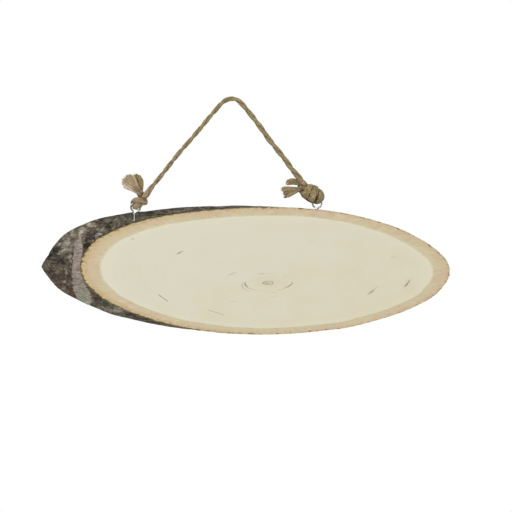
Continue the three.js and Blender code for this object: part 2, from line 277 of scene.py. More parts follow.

# Each knot's route from the free cord to its tail, and the tufts that the tail frays into. All places
# are from the ring's centre. A tuft has the middle of its root, the places that its tips spread over, and
# how strong the painted shade at its root is and how far along it that reaches
LEFT_KNOT = {
    "eye": "screw_eye_left",
    "node": "knot_left",
    "fullness": 1.48,
    "tint": 0.5,
    "core": {
        "centre": (0.0022, 0.0, 0.0028),
        "along": (0.97, 0.0, 0.24),
        "half": (0.0062, 0.0044, 0.0044),
    },
    "route": (
        (0.0102, 0.0001, 0.0128), (0.0076, 0.0, 0.0091), (0.0056, -0.0008, 0.0063),
        (0.0041, -0.0025, 0.0041), (0.0028, -0.0031, 0.0021), (0.0011, -0.0021, 0.0005),
        (0.0001, 0.0, 0.0001), (-0.0009, 0.0020, 0.0009), (-0.0017, 0.0029, 0.0029),
        (-0.0021, 0.0016, 0.0048), (-0.0013, -0.0012, 0.0052), (0.0014, -0.0030, 0.0053),
        (0.0049, -0.0032, 0.0044), (0.0066, -0.0007, 0.0037), (0.0067, 0.0024, 0.0050),
        (0.0053, 0.0033, 0.0073), (0.0036, 0.0014, 0.0087), (0.0026, -0.0002, 0.0112),
    ),
    "tufts": (
        {
            "root": (0.0027, 0.0001, 0.0100),
            "fan": 0.0026,
            "tips": (
                (-0.0080, -0.0004, 0.0145), (-0.0087, 0.0005, 0.0170), (-0.0080, -0.0008, 0.0195),
                (-0.0063, 0.0003, 0.0212), (-0.0042, -0.0006, 0.0220), (-0.0020, -0.0012, 0.0216),
            ),
            "width": 0.00145,
            "arch": 0.0,
            "locks": 22,
            "tint": 0.75,
            "pale_edge": 1.3,
            "shade": (0.7, 0.65),
        },
        {
            "root": (0.0042, 0.0008, 0.0106),
            "fan": 0.0010,
            "tips": (
                (-0.0013, 0.0018, 0.0221), (0.0010, 0.0012, 0.0223), (0.0031, 0.0013, 0.0211),
                (0.0044, 0.0009, 0.0192), (0.0048, 0.0014, 0.0170),
            ),
            "width": 0.00135,
            "arch": 0.0,
            "locks": 15,
            "tint": -0.1,
            "pale_edge": 0.0,
            "shade": (0.7, 0.65),
        },
    ),
}
RIGHT_KNOT = {
    "eye": "screw_eye_right",
    "node": "knot_right",
    "fullness": 1.55,
    "tint": 0.25,
    "core": {
        "centre": (-0.0029, 0.0, 0.0064),
        "along": (0.88, 0.0, -0.47),
        "half": (0.0086, 0.0062, 0.0060),
    },
    "route": (
        (-0.0125, 0.0, 0.0175), (-0.0096, 0.0, 0.0133), (-0.0066, 0.0003, 0.0095),
        (-0.0030, -0.0009, 0.0078), (0.0011, -0.0014, 0.0075), (0.0031, -0.0026, 0.0047),
        (0.0020, -0.0026, 0.0019), (0.0003, 0.0, 0.0003), (-0.0008, 0.0025, 0.0019),
        (-0.0013, 0.0032, 0.0046), (-0.0010, 0.0031, 0.0079), (-0.0016, 0.0012, 0.0100),
        (-0.0017, -0.0022, 0.0095), (-0.0023, -0.0046, 0.0067), (-0.0038, -0.0044, 0.0036),
        (-0.0049, -0.0012, 0.0022), (-0.0056, 0.0024, 0.0034), (-0.0052, 0.0042, 0.0074),
        (-0.0046, 0.0030, 0.0109), (-0.0047, -0.0002, 0.0120), (-0.0063, -0.0039, 0.0103),
        (-0.0079, -0.0046, 0.0070), (-0.0090, -0.0016, 0.0044), (-0.0097, 0.0018, 0.0054),
        (-0.0101, 0.0024, 0.0086), (-0.0110, 0.0011, 0.0110), (-0.0128, 0.0004, 0.0120),
    ),
    "tufts": (
        {
            "root": (-0.0112, 0.0006, 0.0126),
            "fan": 0.0014,
            "tips": ((-0.0207, 0.0004, 0.0128), (-0.0206, -0.0003, 0.0143), (-0.0196, 0.0012, 0.0157)),
            "width": 0.0020,
            "arch": 0.0021,
            "locks": 10,
            "tint": 0.05,
            "pale_edge": 0.6,
            "shade": (0.75, 1.1),
        },
        {
            "root": (-0.0106, 0.0, 0.0100),
            "fan": 0.0012,
            "tips": (
                (-0.0245, 0.0002, 0.0104), (-0.0237, -0.0008, 0.0084), (-0.0226, 0.0007, 0.0061),
                (-0.0220, 0.0, 0.0042), (-0.0202, -0.0002, 0.0050),
            ),
            "width": 0.00135,
            "arch": 0.0006,
            "locks": 15,
            "tint": 0.35,
            "pale_edge": 0.0,
            "shade": (0.5, 0.6),
        },
    ),
}

# The twisted cord: the length of one step along it, how many plies it has, and each ply's sides, its yarns
# and the length in which they turn once
ROPE_STEP = 0.00045
PLIES = 2
PLY_SIDES = 36
YARNS = 6
YARN_LAY = 0.0052

# Shares of the cord's radius: how far out a ply's middle lies, half its thickness, and half its width in the
# free cord and in the knots
PLY_OUT = 0.44
PLY_THICKNESS = 0.58
PLY_WIDTHS = (0.74, 0.92)

# How full the free cord is at its left and its right end, against its mean diameter
FREE_FULLNESS = (0.95, 1.15)

# How tan the free cord is, from olive at 0 to tan near 1
CORD_TINT = 0.2

# A knot's wraps are pressed into its core, past which they keep this share of their distance. The cord
# eases into that over a short length, some steps in from the knot's ends, and further in from the right tail
PRESSED_SHARE = 0.14
PRESS_EASE = 0.006
FREE_STEPS = 9
TAIL_STEPS = 12

# Painted shade: how dark it is between yarns and between plies, within how many radii of its middle
# line a wrap paints shade on another one, and how far apart along the cord two wraps are at least
YARN_SHADE = 0.34
PLY_SHADE = 0.26
WRAP_SHADE = 1.4
WRAP_APART = 0.0065

# Length of cord that the fibres' pattern takes for one unit, and what turns each fibre's streaks away from
# those of the one before
FIBRE_UNIT = 0.008
GOLDEN_ANGLE = 2.399

# Tufts: how deep they are rooted, a lock's sides, the points along a lock and along a loose fibre, how many
# of the two go with each lock, the run from one point of a lock to the next, and a loose fibre's radius
ROOT_DEPTH = 0.0015
LOCK_SIDES = 14
LOCK_POINTS = 18
LOOSE_POINTS = 7
STRANDS_PER_LOCK = 12
LOCK_STEP = 0.0004
LOOSE_RADII = (0.00007, 0.00013)

# Stray fibres: the shortest, the mean length beyond that and the longest, their radii, and how far to
# either side they stand on a ply's outside
STRAY_LENGTHS = (0.0006, 0.0009, 0.0028)
STRAY_RADII = (0.00003, 0.00006)
STRAY_SPREAD = 1.9

# The camera's sensor in millimetres, and the place of the front face that it looks at: x and z
SENSOR_WIDTH = 36
PICTURE_MIDDLE = (0.01668, -0.10828)

# The floor, from the part's middle: how far below, its radius, and where it fades out
FLOOR_DROP = 1.25
FLOOR_RADIUS = 4.5
FLOOR_FADE = (4.4, 1.8)

# Area lights: place from the part's middle, width and height, and the setting with their power
LIGHTS = {
    "key": ((-1.1, -1.5, 1.3), (1.2, 1.2), "key_power"),
    "fill": ((1.6, -1.5, 0.2), (1.4, 1.8), "fill_power"),
    "back": ((0.6, 1.8, 1.0), (1.6, 1.2), "fill_power"),
}

# The studio's light, from straight below to straight above, and as the bright wire reflects it from its
# dark side to its light side
SOFT_SKY = ((0.0, (0.62,) * 3), (0.42, (0.46,) * 3), (0.52, (0.8,) * 3), (0.8, (1.0,) * 3))
WIRE_SKY = (
    (0.0, (0.08,) * 3),
    (0.20, (0.2, 0.19, 0.18)),
    (0.36, (0.5, 0.48, 0.46)),
    (0.6, (0.7,) * 3),
    (0.75, (1.4,) * 3),
)
WIRE_LIGHT = Vector((0.75, 0.3, 0.6))


def srgb(code):
    """A colour written as RRGGBB, as the linear numbers that Blender's sockets take."""
    shares = [int(code[place : place + 2], 16) / 255 for place in (0, 2, 4)]
    return tuple(s / 12.92 if s <= 0.04045 else ((s + 0.055) / 1.055) ** 2.4 for s in shares)


def smoothstep(low, high, value):
    share = min(max((value - low) / (high - low), 0.0), 1.0)
    return share * share * (3 - 2 * share)


def lerp(first, second, share):
    return first + (second - first) * share


def hill(angle, top, spread):
    """A smooth hill of height 1, with its top at one angle and its foot `spread` degrees to either side."""
    away = abs(angle - top)
    return math.cos(away / spread * math.pi / 2) ** 2 if away < spread else 0.0


def colour_property(name, description, code):
    return FloatVectorProperty(
        name=name, description=description, subtype="COLOR", size=3, min=0, max=1, default=srgb(code)
    )


def length_property(name, description, default):
    return FloatProperty(name=name, description=description, default=default, unit="LENGTH", precision=5)


class SliceSettings(bpy.types.PropertyGroup):
    """The sawn branch: its sizes and the colours of its wood and bark."""

    branch_radius: length_property("Branch radius", "Mean radius of the branch, bark included", 0.0448)
    face_stretch: FloatProperty(
        name="Face stretch", description="How much longer than high the slanting cut is", default=2.87
    )
    inner_bark: length_property("Inner bark", "Greatest mean thickness of the tan inner bark", 0.00505)
    bark_roughness: length_property("Bark roughness", "Height of the bark's lumps", 0.00030)
    steps_around: IntProperty(name="Steps around", description="Points round the outline", default=1000)
    steps_through: IntProperty(name="Steps through", description="Rows from face to face", default=56)
    sapwood: colour_property("Sapwood", "Sanded wood, in its palest parts", "D5D0BC")
    sapwood_warm: colour_property("Warm sapwood", "Sanded wood, in its yellower parts", "D3CAAE")
    inner_bark_pale: colour_property("Pale inner bark", "Inner bark beside the wood", "C8BC9C")
    inner_bark_warm: colour_property("Warm inner bark", "Inner bark nearer the edge", "C8B392")
    rim_yellow: colour_property("Rim yellow", "Crumbly yellow edge of the inner bark", "C9B884")
    skin_dark: colour_property("Dark skin", "Thin dark skin at the cut edge of the bark", "5A4722")
    crack_brown: colour_property("Crack brown", "Cracks and specks in the face", "6E6455")
    bark_dark: colour_property("Dark bark", "Bark in its hollows", "221E1A")
    bark_pale: colour_property("Pale bark", "Lichen and worn ridges of the bark", "B0A99A")
    scar_colour: colour_property("Scar", "The smooth pale ring round the branch", "8C8078")


class EyeSettings(bpy.types.PropertyGroup):
    """The two screw eyes."""

    wire_diameter: length_property("Wire diameter", "Diameter of the bent wire", 0.0012)
    zinc: colour_property("Zinc", "Bright zinc plating", "C9C9C6")


class CordSettings(bpy.types.PropertyGroup):
    """The twisted jute cord, its knots and its loose fibres."""

    diameter: length_property("Diameter", "Mean diameter of the twisted cord", 0.0032)
    lay: length_property("Lay", "Length of one whole turn of the twist", 0.021)
    hairs_per_metre: IntProperty(name="Hairs", description="Stray fibres on a metre of cord", default=1900)
    olive: colour_property("Olive jute", "Jute in its greener parts", "89794F")
    tan: colour_property("Tan jute", "Jute in its paler, pinker parts", "AA9478")
    pink: colour_property("Pink jute", "Jute in its palest, pinkest parts", "CFAE92")
    # This colour is the jute's own dark fibres, and also the painted shade between plies, yarns and wraps and
    # at the tufts' roots
    shaded: colour_property("Shaded jute", "Dark fibres, and the hollows between wraps", "4B3C27")


class StageSettings(bpy.types.PropertyGroup):
    """The camera and the studio."""

    picture_width: length_property("Picture width", "Width that the picture shows at the front face", 0.3558)
    lens: FloatProperty(name="Lens", description="Focal length in millimetres", default=100)
    key_power: FloatProperty(name="Key light", description="Main light's power", default=26, unit="POWER")
    fill_power: FloatProperty(name="Fill lights", description="Other lights' power", default=9, unit="POWER")
    sky_strength: FloatProperty(name="Surroundings", description="Strength of the pale studio", default=0.72)


def math_node(operation, swapped=False):
    """A method that adds one Math node to a channel, and to what the channel is worked out with."""

    def method(channel, *others):
        values = (*others, channel) if swapped else (channel, *others)
        return channel.recipe.node("ShaderNodeMath", {"operation": operation}, dict(enumerate(values)))

    return method


class Channel:
    """One output of a recipe's nodes, on which Python's operators add Math nodes."""

    def __init__(self, recipe, socket):
        self.recipe = recipe
        self.socket = socket

    __add__ = __radd__ = math_node("ADD")
    __sub__ = math_node("SUBTRACT")
    __rsub__ = math_node("SUBTRACT", swapped=True)
    __mul__ = __rmul__ = math_node("MULTIPLY")
    __truediv__ = math_node("DIVIDE")
    __abs__ = math_node("ABSOLUTE")
    fraction = math_node("FRACT")
    least = math_node("MINIMUM")
    most = math_node("MAXIMUM")
    angle_from = math_node("ARCTAN2")


class Recipe:
    """Adds nodes to a tree, and hands out their outputs as channels."""

    def __init__(self, tree):
        self.tree = tree

    def node(self, kind, settings=None, values=None, output=0):
        """Adds a node, makes its settings, then fills its sockets with numbers, colours or channels."""
        made = self.tree.nodes.new(kind)
        for name, value in (settings or {}).items():
            if name == "stops":
                self.set_stops(made.color_ramp, value)
            else:
                setattr(made, name, value)
        for key, value in (values or {}).items():
            socket = self.socket(made.inputs, key)
            if isinstance(value, Channel):
                self.tree.links.new(value.socket, socket)
            elif socket.type == "RGBA":
                socket.default_value = (*value, 1)
            else:
                socket.default_value = value
        return Channel(self, self.socket(made.outputs, output)) if made.outputs else None

    @staticmethod
    def socket(sockets, key):
        if isinstance(key, int):
            return sockets[key]
        return next(s for s in sockets if s.identifier == key or (s.name == key and s.enabled))

    @staticmethod
    def set_stops(ramp, stops):
        for place, colour in stops[len(ramp.elements) :]:
            ramp.elements.new(place).color = (*colour, 1)
        for element, (place, colour) in zip(ramp.elements, stops):
            element.position = place
            element.color = (*colour, 1)

    def vector(self, operation, *values, output=0, **named):
        sockets = dict(enumerate(values)) | named
        return self.node("ShaderNodeVectorMath", {"operation": operation}, sockets, output)

    def attribute(self, name, output="Fac"):
        return self.node("ShaderNodeAttribute", {"attribute_name": name}, output=output)

    def split(self, vector):
        made = self.node("ShaderNodeSeparateXYZ", values={0: vector}).socket.node
        return [Channel(self, made.outputs[axis]) for axis in range(3)]

    def combine(self, x, y, z):
        return self.node("ShaderNodeCombineXYZ", values={0: x, 1: y, 2: z})

    def noise(self, place, size, detail=2.0, roughness=0.5):
        """Noise from 0 to 1 whose lumps are about `size` across, in the units of `place`."""
        values = {"Vector": place, "Scale": 1 / size, "Detail": detail, "Roughness": roughness}
        return self.node("ShaderNodeTexNoise", values=values)

    def ease(self, value, low, high):
        """Goes smoothly from 0 where the value is `low` to 1 where it is `high`."""
        values = {"Value": value, "From Min": low, "From Max": high}
        return self.node("ShaderNodeMapRange", {"interpolation_type": "SMOOTHSTEP"}, values)

    def blend(self, share, first, second):
        """Goes from the first colour to the second as the share goes from 0 to 1."""
        values = {"Factor_Float": share, "A_Color": first, "B_Color": second}
        return self.node("ShaderNodeMix", {"data_type": "RGBA"}, values, "Result_Color")

    def coated(self, colour, *coats):
        """Lays coats over a colour in turn. Each has the share of it that covers, and its own colour."""
        for share, coat in coats:
            colour = self.blend(share, colour, srgb(coat) if isinstance(coat, str) else coat)
        return colour

    def ramp(self, share, stops):
        return self.node("ShaderNodeValToRGB", {"stops": stops}, {"Fac": share})


class Finish(Recipe):
    """A material that is put together from nodes round one Principled shader."""

    def __init__(self, name, **constants):
        self.material = bpy.data.materials.new(name)
        self.material.use_nodes = True
        super().__init__(self.material.node_tree)
        self.shader = self.tree.nodes["Principled BSDF"]
        for socket, value in constants.items():
            self.shader.inputs[socket.replace("_", " ")].default_value = value
        place = self.node("ShaderNodeTexCoord", output="Object")
        self.place = self.vector("SCALE", place, Scale=1 / MM)

    def feed(self, socket, channel):
        self.tree.links.new(channel.socket, self.shader.inputs[socket])

    def raise_bumps(self, height, distance):
        bump = self.node("ShaderNodeBump", values={"Height": height, "Distance": distance})
        self.feed("Normal", bump)


def sanded_wood(settings):
    """The sawn faces: cream wood with faint growth rings and cracks, in a rim of tan inner bark."""
    finish = Finish("sanded_wood", Roughness=0.62, Specular_IOR_Level=0.3)
    depth = finish.attribute("depth")
    share = finish.attribute("share")
    growth = finish.attribute("growth")

    # The grain runs through the slice along the branch, so both faces show one pattern, one step apart
    x, y, z = finish.split(finish.place)
    through = (y - SLICE_BOX[0].y / MM) / (AXIS_STEP.y / MM)
    x = x - through * (AXIS_STEP.x / MM)
    z = z - through * (AXIS_STEP.z / MM)
    face = finish.combine(x, 0.0, z)
    across = (x - PITH.x / MM) / settings.face_stretch
    up = z - PITH.z / MM
    spoke = finish.vector("NORMALIZE", finish.combine(across, 0.0, up))
    westward = finish.ease(finish.split(spoke)[0], 0.25, -0.75)
    round_pith = finish.vector("SCALE", spoke, Scale=STREAK_CIRCLE)
    streak_place = finish.vector("ADD", round_pith, finish.combine(0.0, depth / STREAK_LENGTH, 0.0))

    wood = wood_colour(finish, settings, face, x, across, up, growth, share)
    stretch = finish.vector("MULTIPLY", spoke, (settings.face_stretch, 1, 1))
    from_edge = depth * finish.vector("LENGTH", stretch, output="Value")
    bark = inner_bark_colour(finish, settings, depth, from_edge, share, westward, streak_place)
    wander = (finish.noise(face, 9, 1) - 0.5) * 0.16
    cambium = finish.ease(share + wander, 0.90, 1.12)
    finish.feed("Base Color", finish.blend(cambium, bark, wood))

    pores = finish.noise(finish.combine(x / 3.2, 0.0, z), 0.35, 2)
    rough_edge = finish.noise(streak_place, 0.5, 3) * (1 - cambium) * 2.4
    finish.raise_bumps(pores * 0.5 + rough_edge, 0.00009)
    finish.feed("Roughness", finish.noise(face, 2.5, 2) * 0.16 + 0.56)
    return finish.material


def wood_colour(finish, settings, face, x, across, up, growth, share):
    blush = finish.noise(finish.combine(x / 1.7, 0.0, up), 15, 2)
    warmth = (x + 130) / 520 - up / 240 + (blush - 0.5) * 1.2

    # Growth rings, and fine streaks along the grain
    wobble = finish.noise(finish.combine(across, 0.0, up), 9, 2)
    ring = (growth * GROWTH_RINGS + wobble * 1.3).fraction()
    late_wood = finish.ease(ring, 0.55, 0.98) * finish.ease(ring, 1.0, 0.97)
    streaks = finish.noise(finish.combine(x / 7, 0.0, up), 0.45, 3, 0.65)

    # The heart is warmer, with a browner lobe to the left of the pith
    near_pith = finish.ease(growth, 0.17, 0.0)
    lobe = finish.vector("LENGTH", finish.combine(across + 0.45, 0.0, up), output="Value")
    cracks, halos = crack_masks(finish, face)
    arcs = arc_mask(finish, across, up, face)
    return finish.coated(
        settings.sapwood,
        (finish.ease(warmth, 0.0, 1.0), settings.sapwood_warm),
        (late_wood * 0.035, "BCAE88"),
        (finish.ease(streaks, 0.5, 0.85) * 0.16, "C3B792"),
        (finish.ease(share, 1.9, 1.0) * 0.35, "DAD6BC"),
        (near_pith * 0.22, "C4B288"),
        (finish.ease(lobe, 0.95, 0.55) * 0.7, "B9AF8C"),
        (halos * 0.55, "B9A27C"),
        (cracks.most(arcs), settings.crack_brown),
    )


def crack_masks(finish, face):
    """Where the short cracks are, and the warm halos round some of them."""
    ragged = finish.noise(face, 0.9, 3, 0.7) * 1.8
    broken = finish.ease(finish.noise(face, 1.6, 2), 0.36, 0.56) * 0.75 + 0.25
    cracks = 0.0
    halos = 0.0
    for start_x, start_z, end_x, end_z, width, strength, halo in CRACKS:
        start = Vector((start_x, 0, start_z)) / MM
        reach = Vector((end_x, 0, end_z)) / MM - start
        offset = finish.vector("SUBTRACT", face, start)
        share = finish.vector("DOT_PRODUCT", offset, reach / reach.length_squared, output="Value")
        nearest = finish.vector("SCALE", reach, Scale=share.most(0).least(1))
        away = finish.vector("DISTANCE", offset, nearest, output="Value")
        crack = finish.ease(away / ragged, width / MM, width / MM * 0.2) * broken * strength
        cracks = crack.most(cracks)
        if halo:
            glow = finish.ease(away, 3.4, 0.2) * halo
            halos = glow.most(halos)
    return cracks, halos


def arc_mask(finish, across, up, face):
    """Where the curved cracks round the pith are."""
    turn = math.radians(180 - ARC_GAP)
    turned_across = across * math.cos(turn) - up * math.sin(turn)
    turned_up = across * math.sin(turn) + up * math.cos(turn)
    angle = turned_up.angle_from(turned_across)
    radius = finish.vector("LENGTH", finish.combine(across, 0.0, up), output="Value")
    ragged = finish.noise(face, 1.1, 2) * 1.1 + 0.35
    radius = radius + (finish.noise(face, 2.4, 1) - 0.5) * 0.35
    arcs = 0.0
    for start_radius, start, end_radius, end, width, strength in ARCS:
        low, high = (math.radians((a - ARC_GAP) % 360 - 180) for a in (start, end))
        if high <= low:
            low, high = -math.pi, math.pi
        slope = (end_radius - start_radius) / MM / (high - low)
        middle = angle * slope + (start_radius / MM - low * slope)
        line = finish.ease(abs(radius - middle) / ragged, width / MM, width / MM * 0.2)
        fade = min(0.35 * (high - low), 0.25)
        ends = finish.ease(angle, low - fade, low + fade) * finish.ease(angle, high + fade, high - fade)
        arc = line * ends * strength
        arcs = arc.most(arcs)
    return arcs


def inner_bark_colour(finish, settings, depth, from_edge, share, westward, streak_place):
    streaks = finish.noise(streak_place, 0.9, 3, 0.6)
    inward = finish.ease(share + (streaks - 0.5) * 0.8, 0.05, 0.90)
    patches = finish.noise(streak_place, 5, 3, 0.6)
    mottle = finish.noise(streak_place, 1.5, 3, 0.65)

    # The yellow crumbly edge is broad at the left end and only shows in specks at the right
    eastward = 1 - westward
    ragged = finish.noise(streak_place, 1.3, 4, 0.65) - 0.5
    outer = finish.ease(depth + ragged * 1.6, 2.5, 1.0) * westward
    yellow_depth = depth + ragged * 3.4
    yellow = finish.ease(yellow_depth, 1.45, 0.95) * westward
    crumbs = finish.ease(finish.noise(streak_place, 0.7, 2), 0.53, 0.62)
    crumbs = crumbs * finish.ease(depth, 1.4, 0.7) * westward
    worn = finish.ease(yellow_depth, 0.6, 0.0) * eastward

    # Short reddish cracks run in from the edge
    fine = finish.noise(streak_place, 0.75, 2, 0.5)
    run_in = finish.ease(depth + (finish.noise(streak_place, 1.5, 1) - 0.5) * 2.2, 2.6, 0.7)
    cracks = finish.ease(fine, 0.55, 0.66) * run_in * (westward * 0.5 + 0.14)

    # The dark skin of the bark lines the left end, and spots the rest of the edge
    spots = finish.ease(finish.noise(streak_place, 1.2, 3, 0.6), 0.53, 0.58)
    skin = finish.ease(depth + ragged * 2, 0.45, 0.27) * westward
    specks = finish.ease(from_edge + ragged * 3, 1.1, 0.7) * eastward * spots * 0.85
    return finish.coated(
        settings.inner_bark_warm,
        (inward, settings.inner_bark_pale),
        (westward * (1 - inward) * 0.5, "CBAF8C"),
        (finish.ease(streaks, 0.45, 0.8) * 0.22, "B79D78"),
        (finish.ease(patches, 0.52, 0.62) * 0.34, "C5AC90"),
        (finish.ease(patches, 0.48, 0.38) * 0.30, "C6BD98"),
        (finish.ease(mottle, 0.55, 0.66) * 0.22, "A88F70"),
        (finish.ease(mottle, 0.45, 0.36) * 0.25, "DCD2B6"),
        (outer * 0.38, "B9A27F"),
        (yellow * 0.8, settings.rim_yellow),
        (crumbs * 0.6, "9A8556"),
        (worn * 0.45, "A38F6C"),
        (cracks, "9E7650"),
        ((skin + specks) * 0.9, settings.skin_dark),
    )


def rough_bark(settings):
    """The outside of the branch: dark cracked bark with lichen, and its smooth pale scar."""
    finish = Finish("rough_bark", Roughness=0.9, Specular_IOR_Level=0.22)
    relief = finish.attribute("relief")
    tone = finish.attribute("tone")
    pale = finish.attribute("pale")
    rust = finish.attribute("rust")
    scar = finish.attribute("scar")
    coarse = finish.ease(finish.noise(finish.place, 2.4, 3, 0.55), 0.34, 0.66)
    fine = finish.noise(finish.place, 1.5, 2, 0.6)
    x, y, z = finish.split(finish.place)

    upper = finish.ease(z, *PALER_ABOVE) * finish.ease(x, *PALER_LEFT_OF)
    # The lower band of the bark faces down and is painted lighter: painted bounce light from below
    painted_bounce_light = finish.ease(z, *BOUNCE_LIGHT_BELOW)
    value = 0.295 + (coarse - 0.5) * 0.19 + (fine - 0.5) * 0.26 + tone * 0.32 + relief * 0.13 + pale * 0.42
    value = value + upper * 0.16 + painted_bounce_light * 0.13
    stops = (
        (0.0, settings.bark_dark),
        (0.20, srgb("3D3730")),
        (0.40, srgb("5E564A")),
        (0.65, srgb("878072")),
        (1.0, settings.bark_pale),
    )

    # Greenish and browner patches, rust, pale flecks of lichen, and thin dark cracks
    tint = finish.noise(finish.place, 5, 2)
    lower = finish.ease(z + (coarse - 0.5) * 9, *BROWNER_BELOW)
    flecks = finish.ease(finish.noise(finish.place, 1.7, 2, 0.6), 0.635, 0.67)
    dents = finish.ease(finish.noise(finish.combine(x / 1.6, y / 1.6, z), 1.9, 3, 0.6), 0.40, 0.36)
    cracked = finish.coated(
        finish.ramp(value, stops),
        (finish.ease(tint, 0.50, 0.62) * 0.42, "68654F"),
        (finish.ease(tint, 0.48, 0.34) * 0.25, "4F4A4B"),
        (lower * (1 - painted_bounce_light) * finish.ease(pale, 1.0, 0.2) * 0.36, "604A40"),
        (rust * finish.ease(fine, 0.35, 0.65) * 0.65, "8A6252"),
        (flecks * (0.5 + pale * 0.3), "B2AB9B"),
        (dents * 0.55, "26221F"),
    )

    # The scar is mauve at mid-height and greener below, with fine dark lines along the branch
    greener = finish.ease(z + (coarse - 0.5) * 4, *GREENER_BELOW)
    cloud = finish.noise(finish.place, 1.7, 3, 0.6)
    lines = finish.noise(finish.combine(x / 5, y / 2, z), 0.85, 3, 0.6)
    smooth = finish.coated(
        settings.scar_colour,
        (greener, "94937E"),
        (finish.ease(cloud, 0.50, 0.66) * 0.45, "A79F90"),
        (finish.ease(cloud, 0.48, 0.34) * 0.45, "6E635C"),
        (finish.ease(lines, 0.535, 0.60) * 0.62, "65504C"),
        (finish.ease(lines, 0.45, 0.39) * 0.35, "B3ACA0"),
        (finish.ease(pale, 0.3, 1.1) * 0.7, "B3AFA0"),
    )
    finish.feed("Base Color", finish.blend(scar, cracked, smooth))
    finish.raise_bumps((fine * 0.8 + coarse * 0.25) * (1 - scar * 0.7), 0.00032)
    finish.feed("Roughness", 0.95 - scar * 0.2 - pale * 0.04)
    return finish.material


def bright_zinc(settings):
    """Zinc plating, with faint drawing marks and dull patches."""
    finish = Finish("bright_zinc", Metallic=1.0)
    dull = finish.noise(finish.place, 1.3, 3)
    colour = finish.coated(settings.zinc, (finish.ease(dull, 0.45, 0.8) * 0.35, "8F908C"))
    finish.feed("Base Color", colour)
    finish.feed("Roughness", dull * 0.22 + 0.12)
    finish.raise_bumps(finish.noise(finish.place, 0.25, 2), 0.00001)
    return finish.material


def twisted_jute(settings):
    """Jute: fine fibres along each ply, in mixed olive, tan and pink."""
    finish = Finish("twisted_jute", Roughness=0.88, Specular_IOR_Level=0.2)
    fibre = finish.attribute("fibre", "Vector")
    tint = finish.attribute("tint")
    streaks = finish.noise(fibre, 0.34, 3, 0.65)
    hairs = finish.noise(fibre, 0.15, 2, 0.6)
    patches = finish.noise(finish.place, 1.9, 2)
    shades = finish.noise(finish.place, 3.3, 1)
    mixed = tint + (patches - 0.5) * (finish.ease(tint, 0.6, 0.3) * 1.2 + 0.7) + (streaks - 0.5) * 0.9
    colour = finish.coated(
        settings.olive,
        (finish.ease(mixed, -0.1, 0.8), settings.tan),
        (finish.ease(mixed, 0.6, 1.2), settings.pink),
        (finish.ease(mixed, 1.25, 1.9), "D2CCB8"),
        (finish.ease(shades, 0.52, 0.72) * 0.35, "908D68"),
        (finish.ease(streaks, 0.50, 0.30) * 0.85, settings.shaded),
        (finish.ease(hairs, 0.53, 0.72) * 0.55, "D8CAA8"),
        # The last coat is painted shade: darker in the grooves between plies and yarns, where one wrap
        # presses on another, and at the tufts' roots
        (finish.attribute("hollow") * 0.74, settings.shaded),
    )
    finish.feed("Base Color", colour)
    finish.raise_bumps(streaks * 0.7 + hairs * 0.5, 0.00024)
    return finish.material


def made_once(make, settings):
    """The finish that a function makes, made the first time that it is asked for."""
    return bpy.data.materials.get(make.__name__) or make(settings)


